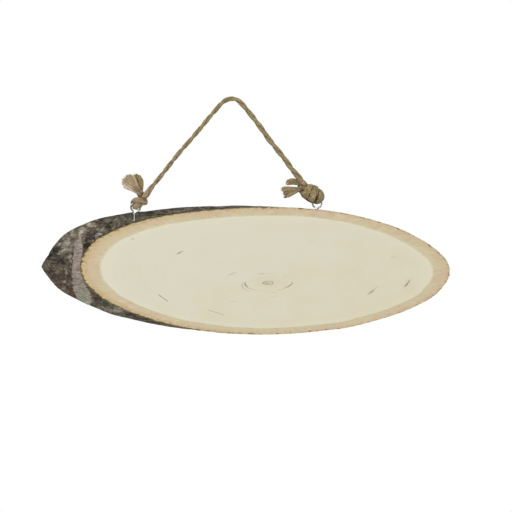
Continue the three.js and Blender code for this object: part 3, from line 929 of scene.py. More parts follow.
class Branch:
    """The shape of the sawn branch, by the angle round it and the share of the way from front to back."""

    def __init__(self, settings):
        self.radius = settings.branch_radius
        self.stretch = settings.face_stretch
        self.inner_bark = settings.inner_bark
        self.roughness = settings.bark_roughness
        self.axis = AXIS_STEP.normalized()
        self.chips = self.edge_chips(random.Random(CHIP_SEED))
        noise.seed_set(WAVER_SEED)  # without a seed, vectors of noise change from run to run

    @staticmethod
    def edge_chips(draw):
        """Small chips broken out of both sawn edges: angle, half width in degrees, depth, and which edge."""
        chips = []
        for edge in (0, 1):
            for _ in range(CHIPS_PER_EDGE):
                angle = draw.uniform(0, 360)
                wide = 0.35 + 0.65 * abs(math.cos(math.radians(angle)))
                deep = draw.uniform(0.00005, 0.00022) * (1 - 0.6 * edge) * (1.5 - wide)
                chips.append((angle, draw.uniform(0.5, 1.1) * wide, deep, edge))
        return chips

    def chipped(self, angle, through):
        deepest = 0.0
        for place, width, depth, edge in self.chips:
            away = abs((angle - place + 180) % 360 - 180) / width
            if away < 1:
                reach = 1 - smoothstep(0, CHIP_REACH, abs(through - edge))
                deepest = max(deepest, depth * reach * (1 - away * away))
        return deepest

    def outline_radius(self, angle, through):
        swelling = 0.0
        for around, height, crest in LOBES:
            swelling += height * math.cos(around * math.radians(angle - crest))
        keel_angle, keel_height, spread_above, spread_below = KEEL
        from_keel = abs(angle - keel_angle) / (spread_above if angle < keel_angle else spread_below)
        change = -TAPER + keel_height * max(0.0, 1 - from_keel)
        change += sum(height * hill(angle, top, spread) for top, height, spread in SHOULDERS)
        lower, rise, fall = FLAT_TOP
        swelling -= lower * smoothstep(*rise, angle) * smoothstep(*fall, angle)
        swelling += sum(height * hill(angle, top, spread) for top, height, spread in BULGES)
        return self.radius - MEAN_SHRINK + swelling + through * change + self.ridges(angle, through)

    def ridges(self, angle, through):
        turn = math.radians(angle)
        along = AXIS_STEP.length * through - self.radius * self.stretch * math.cos(turn)
        drift = math.sin(along / RIDGE_LENGTH + 2 * math.sin(3 * turn))
        wave = math.cos(RIDGES_AROUND * turn + RIDGE_WANDER * drift)
        fading = 0.6 + 0.4 * math.sin(2.3 * along / RIDGE_LENGTH + 5 * turn)
        at_tip = smoothstep(-0.6, -0.92, math.cos(turn))
        kept = lerp(RIDGE_AT_FRONT, 1, through) * lerp(1, RIDGE_AT_TIP, at_tip)
        return RIDGE_HEIGHT * wave * fading * kept

    def point(self, angle, through, lift=0.0):
        turn = math.radians(angle)
        radius = self.outline_radius(angle, through) + lift
        centre = FRONT_CENTRE + AXIS_STEP * through
        return centre + Vector((radius * self.stretch * math.cos(turn), 0, radius * math.sin(turn)))

    def bark_thickness(self, angle):
        """The inner bark is thicker above and at the left end than below and at the right."""
        turn = math.radians(angle)
        thinner = 0.00043 * math.cos(turn) + 0.0005 * math.cos(turn) ** 2
        return self.inner_bark + 0.00075 * math.sin(turn) - thinner

    def bark(self, angle, through):
        """A point of the bark, with its relief, plate tone, paleness, rust and share in the scar."""
        base = self.point(angle, through)
        scar = self.scar_share(base)
        along = base.dot(self.axis)
        squeezed = (base - self.axis * along * 0.5) / MM
        distances, seeds = noise.voronoi(squeezed / PLATE_SIZE)
        crack = 1 - smoothstep(0.0, 0.28, distances[1] - distances[0])
        lumps = noise.fractal(squeezed / LUMP_SIZE, 0.9, 2.1, 4)
        grain = noise.noise(base / MM / GRAIN_SIZE)
        relief = lumps * 0.9 - crack * 0.75 + grain * 0.3
        at_edge = min(through, 1 - through)
        kept = lerp(RELIEF_AT_EDGE, 1, smoothstep(0, 0.18, at_edge)) * (1 - 0.75 * scar)
        lift = self.roughness * (relief * kept + 0.35 * scar) - self.chipped(angle, through)
        lift -= EDGE_WEAR * (1 - smoothstep(0, 0.02, at_edge))
        pale, rust = self.blotches(base)
        tone = noise.noise(seeds[0] * 7.3)
        return self.point(angle, through, lift), (relief, tone, pale, rust, scar)

    def scar_share(self, place):
        """How much a place of the bark belongs to the pale scar."""
        height = place.z - (FRONT_CENTRE.z + AXIS_STEP.z * 0.3)
        height += 0.0005 * noise.noise(place / MM / 1.1)
        along = place.dot(self.axis)
        along += 0.0008 * noise.noise(place / MM / 1.7) + 0.0004 * noise.noise(place / MM / 0.6)
        for low, high in zip(SCAR, SCAR[1:]):
            if low[0] <= height < high[0]:
                share = (height - low[0]) / (high[0] - low[0])
                upper, lower = (lerp(low[edge], high[edge], share) for edge in (1, 2))
                return smoothstep(-0.0002, 0.0002, min(upper - along, along - lower))
        return 0.0

    @staticmethod
    def blotches(place):
        pale = rust = 0.0
        shifted = place + noise.noise_vector(place / MM / 1.7) * 0.0009
        for x, z, half_width, half_height, paleness, rustiness in BLOTCHES:
            away = math.hypot((shifted.x - x) / half_width, (shifted.z - z) / half_height)
            cover = 1 - smoothstep(0.55, 1.15, away)
            pale += paleness * cover
            rust += rustiness * cover
        return pale, min(rust, 1.0)


def select_only(*pieces):
    """Leaves only the given pieces selected, and makes the last one active."""
    bpy.ops.object.select_all(action="DESELECT")
    for piece in pieces:
        piece.select_set(True)
        bpy.context.view_layer.objects.active = piece


def select_parts(piece, kind, wanted):
    """Enters edit mode with only the wanted vertices, edges or faces selected."""
    bpy.ops.object.mode_set(mode="EDIT")
    bpy.ops.mesh.select_mode(type=kind)
    bpy.ops.mesh.select_all(action="DESELECT")
    bpy.ops.object.mode_set(mode="OBJECT")
    mesh = piece.data
    parts = {"VERT": mesh.vertices, "EDGE": mesh.edges, "FACE": mesh.polygons}[kind]
    for part in parts:
        part.select = wanted(part)
    bpy.ops.object.mode_set(mode="EDIT")


def ringed_cylinder(radius, height, middle, sides, rows):
    """A new upright cylinder whose side is cut into rows."""
    select_only()
    bpy.ops.mesh.primitive_cylinder_add(vertices=sides, radius=radius, depth=height, location=middle)
    piece = bpy.context.object
    bpy.ops.object.transform_apply(location=True, rotation=False, scale=False)
    points = piece.data.vertices

    def upright(edge):
        low, high = (points[end].co.z for end in edge.vertices)
        return abs(high - low) > height / 2

    select_parts(piece, "EDGE", upright)
    bpy.ops.mesh.subdivide(number_cuts=rows - 1)
    bpy.ops.object.mode_set(mode="OBJECT")
    return piece


def store(mesh, name, values, kind="FLOAT"):
    """Keeps a number or a vector with each of a mesh's points, for the finish to read."""
    part = "vector" if kind == "FLOAT_VECTOR" else "value"
    mesh.attributes.new(name, kind, "POINT").data.foreach_set(part, values)


def finished(piece, slot, *nodes):
    """Puts a finished piece on the part's body, in place of the plain nodes that it stands for."""
    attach(piece, "root")
    if nodes:
        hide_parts(*nodes)


def round_blank(settings):
    """A round blank of unit radius and height, its side cut into rows and its ends into rings."""
    blank = ringed_cylinder(1, 1, (0, 0, 0.5), settings.steps_around, settings.steps_through)
    select_parts(blank, "FACE", lambda face: abs(face.normal.z) > 0.5)
    for _ in FACE_RINGS[1:]:
        bpy.ops.mesh.inset(thickness=RING_LABEL)
    bpy.ops.mesh.poke()
    bpy.ops.object.mode_set(mode="OBJECT")
    return blank


def even_angles(settings):
    """Turns an even share of the way round into an angle, with nearly even steps along the outline."""
    fine = 3600
    speeds = []
    for step in range(fine):
        turn = 2 * math.pi * (step + 0.5) / fine
        speeds.append(math.hypot(settings.face_stretch * math.sin(turn), math.cos(turn)) ** EVENNESS)
    total = sum(speeds)
    reached = [0.0]
    for speed in speeds:
        reached.append(reached[-1] + speed / total)
    count = settings.steps_around
    angles = []
    place = 0
    for step in range(count):
        while reached[place + 1] < step / count:
            place += 1
        within = (step / count - reached[place]) / (reached[place + 1] - reached[place])
        angles.append(360 * (place + within) / fine)
    return angles


def saw_branch(settings):
    """The slice: a round blank whose every point is moved to its place in the slanting cut."""
    blank = round_blank(settings)
    blank.name = blank.data.name = "slanting_slice"
    branch = Branch(settings)
    angles = even_angles(settings)
    count = settings.steps_around
    kept = {name: [] for name in ("depth", "share", "growth", "relief", "tone", "pale", "rust", "scar")}
    sides = {}
    for vertex in blank.data.vertices:
        x, y, z = vertex.co
        ring = round((1 - math.hypot(x, y)) / RING_LABEL)
        step = round(math.atan2(y, x) / (2 * math.pi) * count) % count
        through = z - ROW_CROWDING * math.sin(2 * math.pi * z) / (2 * math.pi)
        if z < 1e-4 or z > 1 - 1e-4:
            through = round(z)
        key = (step, round(z, 4))
        if key not in sides:
            sides[key] = branch.bark(angles[step], through)
        edge, looks = sides[key]
        pith = PITH + AXIS_STEP * through
        if ring == 0:
            vertex.co, depth, share, growth = edge, 0.0, 0.0, 1.2
        elif ring >= len(FACE_RINGS):
            vertex.co, depth, share, growth = pith, 0.04, 10.0, 0.0
        else:
            vertex.co, depth, share, growth = face_point(branch, angles[step], edge, pith, ring, through)
        for name, value in zip(kept, (depth / MM, share, growth, *looks)):
            kept[name].append(value)
    for name, values in kept.items():
        store(blank.data, name, values)
    return blank


def face_point(branch, angle, edge, pith, ring, through):
    """A point on one ring of a sawn face, with its depth, its share of the bark and of the growth."""
    thickness = branch.bark_thickness(angle)
    share = FACE_RINGS[ring]
    span = math.hypot((edge.x - pith.x) / branch.stretch, edge.z - pith.z)
    place = edge.lerp(pith, share * thickness / span)
    sunk = smoothstep(0, 0.06, share) * (1 - smoothstep(0.85, 1.1, share))
    place.y += INNER_BARK_SUNK * sunk * (1 - 2 * through)
    growth = (1 - share * thickness / span) / (1 - thickness / span)
    return place, share * thickness, share, growth


class PLAQUE_OT_slice(bpy.types.Operator):
    """Model the sawn slice with its bark"""

    bl_idname = "plaque.slice"
    bl_label = "Wood slice"

    def execute(self, context):
        settings = context.scene.plaque_slice
        piece = saw_branch(settings)
        piece.data.materials.append(made_once(sanded_wood, settings))
        piece.data.materials.append(made_once(rough_bark, settings))
        piece.data.update()
        depth = piece.data.attributes["depth"].data
        finishes_beside = {}
        for face in piece.data.polygons:
            face.material_index = int(all(depth[v].value == 0 for v in face.vertices))
            face.use_smooth = True
            for key in face.edge_keys:
                finishes_beside.setdefault(key, set()).add(face.material_index)
        select_parts(piece, "EDGE", lambda edge: len(finishes_beside[edge.key]) == 2)
        bpy.ops.mesh.mark_sharp()
        bpy.ops.object.mode_set(mode="OBJECT")
        finished(piece, "wood", "wood_slice")
        return {"FINISHED"}


def ring_centre(node, settings):
    """The middle of a screw eye's ring, from the eye's box."""
    low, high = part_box(node)
    below_top = RING_RADIUS + settings.wire_diameter / 2
    return Vector(((low.x + high.x) / 2, (low.y + high.y) / 2, high.z - below_top))


def bent_wire(name, centre, settings):
    """The eye's wire: up the neck and round the ring until it almost meets the neck again."""
    foot = -NECK_DROP - settings.wire_diameter
    points = [(SHANK_OFFSET, 0, foot), (SHANK_OFFSET, 0, -NECK_DROP)]
    start, end, steps = RING_ARC
    for step in range(steps + 1):
        turn = math.radians(lerp(start, end, step / steps))
        points.append((RING_RADIUS * math.cos(turn), 0, RING_RADIUS * math.sin(turn)))
    route = smooth_route([centre + Vector(point) for point in points], WIRE_STEP)
    curve = bpy.data.curves.new(name, "CURVE")
    curve.dimensions = "3D"
    curve.bevel_depth = settings.wire_diameter / 2
    curve.bevel_resolution = 4
    curve.use_fill_caps = True
    spline = curve.splines.new("POLY")
    spline.points.add(len(route) - 1)
    for point, place in zip(spline.points, route):
        point.co = (*place, 1)
    wire = bpy.data.objects.new(name, curve)
    bpy.context.scene.collection.objects.link(wire)
    select_only(wire)
    bpy.ops.object.convert(target="MESH")
    return bpy.context.object


def threaded_shank(centre, settings):
    """The straight shank: a cylinder with a thread drawn out of it, which runs to a point."""
    top = centre + Vector((SHANK_OFFSET, 0, -SHANK_DROP))
    middle = top - Vector((0, 0, SHANK_LENGTH / 2))
    radius = settings.wire_diameter / 2
    shank = ringed_cylinder(radius, SHANK_LENGTH, middle, SHANK_SIDES, SHANK_ROWS)
    for vertex in shank.data.vertices:
        offset = vertex.co - top
        from_tip = SHANK_LENGTH + offset.z
        wave = (from_tip / THREAD_PITCH + math.atan2(offset.y, offset.x) / (2 * math.pi)) % 1
        crest = max(0.0, 1 - 4 * abs(wave - 0.5))
        fade = min(max((THREAD_LENGTH - from_tip) / THREAD_PITCH, 0), 1)
        taper = lerp(THREAD_TIP_SHARE, 1, min(max(from_tip / THREAD_POINT, 0), 1))
        grown = (1 + THREAD_RISE / radius * crest * fade) * taper
        vertex.co.x = top.x + offset.x * grown
        vertex.co.y = top.y + offset.y * grown
    return shank


class PLAQUE_OT_screw_eyes(bpy.types.Operator):
    """Bend the wire of both screw eyes and cut their threads"""

    bl_idname = "plaque.screw_eyes"
    bl_label = "Screw eyes"

    def execute(self, context):
        settings = context.scene.plaque_eyes
        for node in ("screw_eye_left", "screw_eye_right"):
            centre = ring_centre(node, settings)
            wire = bent_wire(f"{node}_wire", centre, settings)
            shank = threaded_shank(centre, settings)
            join = wire.modifiers.new("shank", "BOOLEAN")
            join.object = shank
            join.operation = "UNION"
            select_only(wire)
            bpy.ops.object.modifier_apply(modifier=join.name)
            bpy.data.objects.remove(shank)
            bpy.ops.object.shade_smooth_by_angle(angle=math.radians(40))
            wire.data.materials.clear()
            wire.data.materials.append(made_once(bright_zinc, settings))
            finished(wire, "zinc_wire", node)
        return {"FINISHED"}


def smooth_route(points, step):
    """Points a step apart on the smooth curve through the given ones."""
    points = [Vector(point) for point in points]
    ends = [2 * points[0] - points[1], *points, 2 * points[-1] - points[-2]]
    dense = [points[0]]
    for before, start, end, after in zip(ends, ends[1:], ends[2:], ends[3:]):
        gaps = (before, start), (start, end), (end, after)
        first, span, last = (math.sqrt((b - a).length) for a, b in gaps)
        leaving = (start - before) / first - (end - before) / (first + span) + (end - start) / span
        arriving = (end - start) / span - (after - start) / (span + last) + (after - end) / last
        handles = start + leaving * span / 3, end - arriving * span / 3
        dense += interpolate_bezier(start, *handles, end, 40)[1:]
    distances = [0.0]
    for a, b in zip(dense, dense[1:]):
        distances.append(distances[-1] + (b - a).length)
    count = max(2, round(distances[-1] / step))
    route = []
    place = 0
    for index in range(count + 1):
        wanted = distances[-1] * index / count
        while place < len(dense) - 2 and distances[place + 1] < wanted:
            place += 1
        within = (wanted - distances[place]) / (distances[place + 1] - distances[place])
        route.append(dense[place].lerp(dense[place + 1], within))
    return route


def headings(route):
    """Which way a route goes at each of its points."""
    around = zip([route[0], *route], [*route[1:], route[-1]])
    return [(after - before).normalized() for before, after in around]


class Rope:
    """The whole cord, from tail to tail, with its twist carried along it."""

    def __init__(self, settings, eyes):
        self.settings = settings
        left, right = (ring_centre(knot["eye"], eyes) for knot in (LEFT_KNOT, RIGHT_KNOT))
        left_route = [left + Vector(point) for point in reversed(LEFT_KNOT["route"])]
        right_route = [right + Vector(point) for point in RIGHT_KNOT["route"]]
        self.points = smooth_route([*left_route, *HANGER_ROUTE, *right_route], ROPE_STEP)
        self.first = self.nearest(left_route[-1])
        self.last = self.nearest(right_route[0])
        self.left = LEFT_KNOT, left, (FREE_STEPS, self.first - FREE_STEPS)
        self.right = RIGHT_KNOT, right, (self.last + FREE_STEPS, len(self.points) - TAIL_STEPS)
        self.runs = [index * ROPE_STEP for index in range(len(self.points))]
        self.ahead = headings(self.points)
        side = self.ahead[0].cross(Vector((0, 1, 0))).normalized()
        self.sides = []
        for ahead in self.ahead:
            side = (side - ahead * side.dot(ahead)).normalized()
            self.sides.append(side)
        self.middles = KDTree(len(self.points))
        for index, place in enumerate(self.points):
            self.middles.insert(self.pulled_tight(place, index), index)
        self.middles.balance()

    def nearest(self, place):
        return min(range(len(self.points)), key=lambda index: (self.points[index] - place).length)

    def girth(self, index):
        """The cord's radius and its plies' half width: fuller on the right, and fullest in the knots."""
        share = (index - self.first) / (self.last - self.first)
        free = lerp(*FREE_FULLNESS, smoothstep(0.35, 0.8, share))
        at_left, at_right = smoothstep(0.03, -0.06, share), smoothstep(0.94, 1.08, share)
        full = lerp(lerp(free, LEFT_KNOT["fullness"], at_left), RIGHT_KNOT["fullness"], at_right)
        slack = 0.03 * noise.noise(Vector((self.runs[index] / 0.011, 3.7, 0)))
        return self.settings.diameter / 2 * full * (1 + slack), lerp(*PLY_WIDTHS, at_left + at_right)

    def pulled_tight(self, place, index):
        """Presses the wraps of a knot together, into one rounded lump."""
        knot, centre, (start, end) = self.left if index < self.first else self.right
        share = smoothstep(0, PRESS_EASE, min(index - start, end - index) * ROPE_STEP)
        if not share:
            return place
        core = knot["core"]
        along = Vector(core["along"]).normalized()
        offset = place - centre - Vector(core["centre"])
        reaches = offset.dot(along), offset.dot(along.cross(Vector((0, 1, 0)))), offset.y
        reach = math.hypot(*(distance / half for distance, half in zip(reaches, core["half"])))
        kept = (1 + (reach - 1) * PRESSED_SHARE) / reach if reach > 1 else 1
        return place + offset * ((kept - 1) * share)

    def surface(self, index, ply, angle):
        """A point on a ply, the way out of it there, and the angle of the fibre that passes there."""
        radius, wide = self.girth(index)
        run = self.runs[index]
        turn = 2 * math.pi * (ply / PLIES - run / self.settings.lay)
        side, up = self.sides[index], self.ahead[index].cross(self.sides[index])
        out = side * math.cos(turn) + up * math.sin(turn)
        across = up * math.cos(turn) - side * math.sin(turn)
        fibre = angle + turn - run / YARN_LAY
        uneven = noise.noise(Vector((math.sin(fibre), run / 0.006, ply)))
        ridge = 1 + 0.07 * noise.noise(Vector((run / 0.005, 11.3 * ply, 0)))
        ridge *= 1 + 0.05 * math.cos(YARNS * fibre) + 0.05 * uneven
        offset = out * (PLY_THICKNESS * math.cos(angle) * ridge) + across * (wide * math.sin(angle) * ridge)
        place = self.points[index] + (out * PLY_OUT + offset) * radius
        return self.pulled_tight(place, index), offset.normalized(), fibre

    def hollow(self, place, out, index, angle, fibre):
        """How much painted shade a point gets between two yarns, in the groove between the plies, or between
        two wraps.
        """
        radius, wide = self.girth(index)
        deepest = PLY_SHADE * smoothstep(0.2, -0.5, math.cos(angle))
        deepest += YARN_SHADE * wide ** 3 * smoothstep(-0.1, -1, math.cos(YARNS * fibre))
        for middle, other, distance in self.middles.find_range(place, radius * WRAP_SHADE):
            if abs(other - index) * ROPE_STEP > WRAP_APART:
                facing = smoothstep(-0.8, -0.2, out.dot(middle - place) / distance)
                deepest = max(deepest, facing * smoothstep(WRAP_SHADE, 1, distance / radius))
        return deepest

    def add_to(self, strands, start, end, tint):
        """Adds the plies between two steps of the rope."""
        for ply in range(PLIES):
            rings = []
            for index in range(start, end + 1):
                ring = []
                for side in range(PLY_SIDES):
                    angle = 2 * math.pi * side / PLY_SIDES
                    place, out, fibre = self.surface(index, ply, angle)
                    # Painted shade of the grooves, and of the wraps that press on this point
                    hollow = self.hollow(place, out, index, angle, fibre)
                    ring.append((place, fibre, self.runs[index], hollow))
                rings.append(ring)
            strands.add(rings, tint)


class Strands:
    """Gathers closed tubes into one mesh, and keeps the course of their fibres for the finish."""

    def __init__(self):
        self.points = []
        self.faces = []
        self.fibres = []
        self.hollows = []
        self.tints = []

    def add(self, rings, tint):
        """Adds a tube. Its rings hold points, with their fibre's angle, its run and how much painted shade
        they get.
        """
        sides = len(rings[0])
        first = len(self.points)
        for ring in rings:
            for place, angle, run, hollow in ring:
                self.points.append(place)
                self.hollows.append(hollow)
                self.fibres += (math.cos(angle), math.sin(angle), run / FIBRE_UNIT)
        for row in range(len(rings) - 1):
            low = first + row * sides
            for side in range(sides):
                after = (side + 1) % sides
                self.faces.append((low + side, low + after, low + sides + after, low + sides + side))
        last = first + (len(rings) - 1) * sides
        self.faces.append(tuple(range(first + sides - 1, first - 1, -1)))
        self.faces.append(tuple(range(last, last + sides)))
        self.tints += [tint] * (len(self.points) - first)

    def add_hair(self, course, radius, tint, shade=(0, 1)):
        """Adds one thin fibre along a few points, which tapers to its tip."""
        fibre = len(self.points) * GOLDEN_ANGLE
        turns = [2 * math.pi * corner / 3 for corner in range(3)]
        rings = []
        for index, (place, ahead) in enumerate(zip(course, headings(course))):
            share = index / (len(course) - 1)
            side = ahead.orthogonal().normalized()
            up = ahead.cross(side)
            thin = radius * (1 - 0.75 * share)
            # Painted shade towards the fibre's root, as strong and as far along as `shade` asks
            hollow = shade[0] * smoothstep(shade[1], 0, share)
            corners = [place + (side * math.cos(t) + up * math.sin(t)) * thin for t in turns]
            rings.append([(corner, fibre, index, hollow) for corner in corners])
        self.add(rings, tint)

    def add_lock(self, course, radius, tint, shade):
        """Adds one lock of combed fibres, narrow and with painted shade at the root, and blunt at the tip."""
        side = (course[1] - course[0]).orthogonal().normalized()
        rings = []
        run = 0.0
        for index, (place, ahead) in enumerate(zip(course, headings(course))):
            side = (side - ahead * side.dot(ahead)).normalized()
            up = ahead.cross(side)
            share = index / (len(course) - 1)
            blunt = math.sqrt(1 - max(0.0, (share - 0.86) / 0.145) ** 2)
            swell = (0.62 + 0.5 * smoothstep(0, 0.7, share)) * blunt
            ring = []
            for corner in range(LOCK_SIDES):
                turn = 2 * math.pi * corner / LOCK_SIDES
                tress = Vector((5 * math.cos(turn), 5 * math.sin(turn), run / 0.004 + len(self.points)))
                out = radius * swell * (1 + 0.22 * noise.noise(tress))
                spot = place + (side * math.cos(turn) + up * math.sin(turn)) * out
                # Painted shade at the lock's root, which fades along it
                ring.append((spot, turn, run, shade[0] * smoothstep(shade[1], 0, share)))
            rings.append(ring)
            run += LOCK_STEP
        self.add(rings, tint)

    def piece(self, name, finish):
        mesh = bpy.data.meshes.new(name)
        mesh.from_pydata(self.points, [], self.faces)
        mesh.polygons.foreach_set("use_smooth", [True] * len(mesh.polygons))
        store(mesh, "fibre", self.fibres, "FLOAT_VECTOR")
        store(mesh, "tint", self.tints)
        # How strongly each point is painted with shade, which the jute's finish darkens by
        store(mesh, "hollow", self.hollows)
        mesh.materials.append(finish)
        piece = bpy.data.objects.new(name, mesh)
        bpy.context.scene.collection.objects.link(piece)
        return piece


def add_tuft(strands, tuft, centre, draw):
    """Fans a tuft's locks from its root to the places that its tips spread over, with fibres among them."""
    root = centre + Vector(tuft["root"])
    tips = [centre + Vector(tip) for tip in tuft["tips"]]
    middle = sum(tips, Vector()) / len(tips)
    heading = (middle - root).normalized()
    lift = Vector((0, 0, tuft["arch"]))
    fan = (tips[-1] - tips[0]).normalized() * tuft["fan"]
    for number in range(tuft["locks"] * STRANDS_PER_LOCK):
        lock = number < tuft["locks"]
        share = (number + 0.5) / tuft["locks"] if lock else draw.random()
        spread = share * (len(tips) - 1.001)
        tip = tips[int(spread)].lerp(tips[int(spread) + 1], spread % 1)
        layer = (number % 3 - 1) * 0.55 if lock else draw.uniform(-1, 1)
        loose = Vector((draw.uniform(-0.5, 0.5), 0, draw.uniform(-0.5, 0.5)))
        deep = Vector((0, layer, 0))
        start = root + fan * (share - 0.5) + (loose * 0.5 + deep * 0.6) * tuft["width"] - heading * ROOT_DEPTH
        end = tip + (loose * 0.5 + deep * 0.7) * tuft["width"]
        end += (end - start).normalized() * draw.uniform(0.0001, 0.0010 if lock else 0.0019)
        reach = (end - start).length
        leave = start + heading * (reach * 0.4) + lift * 0.8
        arrive = start.lerp(end, 0.74) + (end - middle) * 0.14 + lift
        course = interpolate_bezier(start, leave, arrive, end, LOCK_POINTS if lock else LOOSE_POINTS)
        tint = tuft["tint"] + tuft["pale_edge"] * smoothstep(0.45, 0.0, share)
        if lock:
            radius = tuft["width"] * draw.uniform(0.52, 0.72)
            strands.add_lock(course, radius, tint + draw.gauss(0, 0.14), tuft["shade"])
        else:
            radius = draw.uniform(*LOOSE_RADII)
            strands.add_hair(course, radius, tint + draw.gauss(0, 0.25), tuft["shade"])


class PLAQUE_OT_knots(bpy.types.Operator):
    """Tie both ends of the cord and fray their tails"""

    bl_idname = "plaque.knots"
    bl_label = "Knots"

    def execute(self, context):
        settings = context.scene.plaque_cord
        rope = Rope(settings, context.scene.plaque_eyes)
        ends = ((LEFT_KNOT, 0, rope.first), (RIGHT_KNOT, rope.last, len(rope.points) - 1))
        for knot, start, end in ends:
            strands = Strands()
            rope.add_to(strands, start, end, knot["tint"])
            centre = ring_centre(knot["eye"], context.scene.plaque_eyes)
            draw = random.Random(len(knot["route"]))
            for tuft in knot["tufts"]:
                add_tuft(strands, tuft, centre, draw)
            piece = strands.piece(f"tied_{knot['node']}", made_once(twisted_jute, settings))
            finished(piece, "jute", knot["node"])
        return {"FINISHED"}


class PLAQUE_OT_stray_fibres(bpy.types.Operator):
    """Scatter the short fibres that stand out of the cord"""

    bl_idname = "plaque.stray_fibres"
    bl_label = "Stray fibres"

    def execute(self, context):
        settings = context.scene.plaque_cord
        rope = Rope(settings, context.scene.plaque_eyes)
        draw = random.Random(FIBRE_SEED)
        strands = Strands()
        shortest, mean_beyond, longest = STRAY_LENGTHS
        for _ in range(round(settings.hairs_per_metre * rope.runs[-1])):
            index = draw.randrange(2, len(rope.points) - 2)
            angle = draw.uniform(-STRAY_SPREAD, STRAY_SPREAD)
            place, out, _ = rope.surface(index, draw.randrange(PLIES), angle)
            ahead = rope.ahead[index] * draw.choice((-1, 1))
            length = min(shortest + draw.expovariate(1 / mean_beyond), longest)
            wander = Vector(draw.uniform(-1, 1) for _ in range(3))
            root = place - out * 0.0001
            leave = root + ahead * length * 0.45 + out * length * 0.12
            turn = leave + (ahead * 0.3 + out * draw.uniform(0.05, 0.5) + wander * 0.25) * length
            tip = turn + (ahead * 0.1 + out * draw.uniform(-0.1, 0.45) + wander * 0.4) * length
            course = interpolate_bezier(root, leave, turn, tip, 5)
            strands.add_hair(course, draw.uniform(*STRAY_RADII), draw.uniform(0.2, 0.9))
        piece = strands.piece("stray_fibres", made_once(twisted_jute, settings))
        finished(piece, "jute")
        return {"FINISHED"}


class PLAQUE_OT_cord(bpy.types.Operator):
    """Twist the free cord between its knots"""

    bl_idname = "plaque.cord"
    bl_label = "Cord"

    def execute(self, context):
        settings = context.scene.plaque_cord
        rope = Rope(settings, context.scene.plaque_eyes)
        strands = Strands()
        rope.add_to(strands, rope.first, rope.last, CORD_TINT)
        piece = strands.piece("jute_cord", made_once(twisted_jute, settings))
        finished(piece, "jute", "hanger_cord")
        return {"FINISHED"}


class PLAQUE_OT_camera(bpy.types.Operator):
    """Place the camera square to the front face"""

    bl_idname = "plaque.camera"
    bl_label = "Camera"

    def execute(self, context):
        settings = context.scene.plaque_stage
        distance = settings.picture_width * settings.lens / SENSOR_WIDTH
        x, z = PICTURE_MIDDLE
        eye = Vector((x, SLICE_BOX[0].y - distance, z))
        bpy.ops.object.camera_add(location=eye, rotation=(math.pi / 2, 0, 0))
        camera = context.object
        camera.name = "camera"
        camera.data.lens = settings.lens
        camera.data.sensor_width = SENSOR_WIDTH
        context.scene.camera = camera
        return {"FINISHED"}


def add_light(name, place, target, size, power):
    turned = (target - place).to_track_quat("-Z", "Y").to_euler()
    bpy.ops.object.light_add(type="AREA", location=place, rotation=turned)
    light = bpy.context.object
    light.name = name
    light.data.shape = "RECTANGLE"
    light.data.size, light.data.size_y = size
    light.data.energy = power


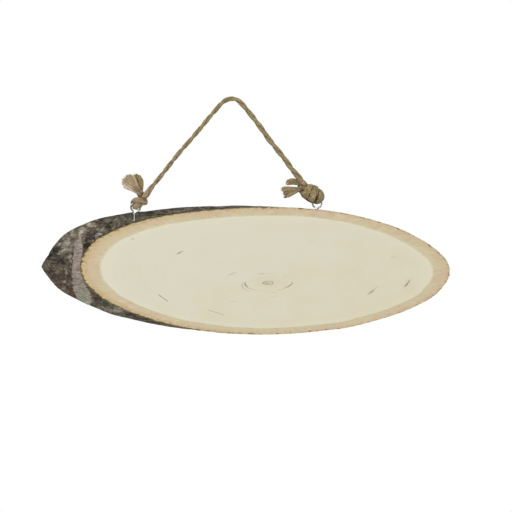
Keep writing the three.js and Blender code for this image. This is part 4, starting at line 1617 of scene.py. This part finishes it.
class PLAQUE_OT_stage(bpy.types.Operator):
    """Set up the pale floor, the pale surroundings and the soft lights"""

    bl_idname = "plaque.stage"
    bl_label = "Stage"

    def execute(self, context):
        settings = context.scene.plaque_stage
        centre = (CAD_BOX[0] + CAD_BOX[1]) / 2
        self.lay_floor(centre - Vector((0, 0, FLOOR_DROP)))
        self.paint_surroundings(context, settings)
        for name, (place, size, power) in LIGHTS.items():
            add_light(name, centre + Vector(place), centre, size, getattr(settings, power))
        context.scene.view_settings.view_transform = "Standard"
        return {"FINISHED"}

    @staticmethod
    def lay_floor(middle):
        """A pale round floor well below the slice, which fades out at its edge."""
        select_only()
        bpy.ops.mesh.primitive_circle_add(vertices=96, radius=FLOOR_RADIUS, fill_type="NGON", location=middle)
        floor = bpy.context.object
        floor.name = "floor"
        bpy.ops.object.transform_apply()
        finish = Finish("pale_floor", Base_Color=(0.9, 0.9, 0.89, 1), Roughness=0.9)
        reach = finish.vector("DISTANCE", finish.place, middle / MM, output="Value")
        finish.feed("Alpha", finish.ease(reach, *(edge / MM for edge in FLOOR_FADE)))
        floor.data.materials.append(finish.material)

    @staticmethod
    def paint_surroundings(context, settings):
        """White to the camera, soft all round, and in the bright wire darker to the left than the right."""
        world = bpy.data.worlds.new("studio")
        context.scene.world = world
        world.use_nodes = True
        world.node_tree.nodes.clear()
        studio = Recipe(world.node_tree)
        way = studio.node("ShaderNodeTexCoord", output="Generated")
        soft = studio.ramp(studio.split(way)[2] * 0.5 + 0.5, SOFT_SKY)
        aside = studio.vector("DOT_PRODUCT", way, WIRE_LIGHT.normalized(), output="Value")
        in_wire = studio.ramp(aside * 0.5 + 0.5, WIRE_SKY)
        glossy = studio.node("ShaderNodeLightPath", output="Is Glossy Ray")
        colour = studio.blend(glossy, soft, in_wire)
        sky = studio.node("ShaderNodeBackground", values={"Color": colour, "Strength": settings.sky_strength})
        white = studio.node("ShaderNodeBackground", values={"Color": (1, 1, 1)})
        seen = studio.node("ShaderNodeLightPath", output="Is Camera Ray")
        light = studio.node("ShaderNodeMixShader", values={0: seen, 1: sky, 2: white})
        studio.node("ShaderNodeOutputWorld", values={"Surface": light})


class PLAQUE_PT_sidebar(bpy.types.Panel):
    """Sizes, colours and steps of the hanging wood slice"""

    bl_idname = "PLAQUE_PT_sidebar"
    bl_label = "Hanging wood slice"
    bl_space_type = "VIEW_3D"
    bl_region_type = "UI"
    bl_category = "Wood slice"

    def draw(self, context):
        for group, operators in STEPS.items():
            box = self.layout.box()
            settings = getattr(context.scene, group)
            for name in type(settings).__annotations__:
                box.prop(settings, name)
            for operator in operators:
                box.operator(operator.bl_idname)


SETTINGS = {
    "plaque_stage": StageSettings,
    "plaque_cord": CordSettings,
    "plaque_eyes": EyeSettings,
    "plaque_slice": SliceSettings,
}
STEPS = {
    "plaque_stage": (PLAQUE_OT_camera, PLAQUE_OT_stage),
    "plaque_cord": (PLAQUE_OT_knots, PLAQUE_OT_stray_fibres, PLAQUE_OT_cord),
    "plaque_eyes": (PLAQUE_OT_screw_eyes,),
    "plaque_slice": (PLAQUE_OT_slice,),
}
OPERATORS = tuple(operator for group in STEPS.values() for operator in group)
CLASSES = (*SETTINGS.values(), *OPERATORS, PLAQUE_PT_sidebar)


def register():
    for cls in CLASSES:
        bpy.utils.register_class(cls)
    for name, group in SETTINGS.items():
        setattr(bpy.types.Scene, name, PointerProperty(type=group))


def unregister():
    for name in SETTINGS:
        delattr(bpy.types.Scene, name)
    for cls in reversed(CLASSES):
        bpy.utils.unregister_class(cls)


def main():
    register()
    bpy.ops.object.select_all(action="DESELECT")
    bpy.ops.plaque.camera()
    bpy.ops.plaque.knots()
    bpy.ops.plaque.stray_fibres()
    bpy.ops.plaque.cord()
    bpy.ops.plaque.screw_eyes()
    bpy.ops.plaque.slice()
    bpy.ops.plaque.stage()


if __name__ == "__main__":
    main()
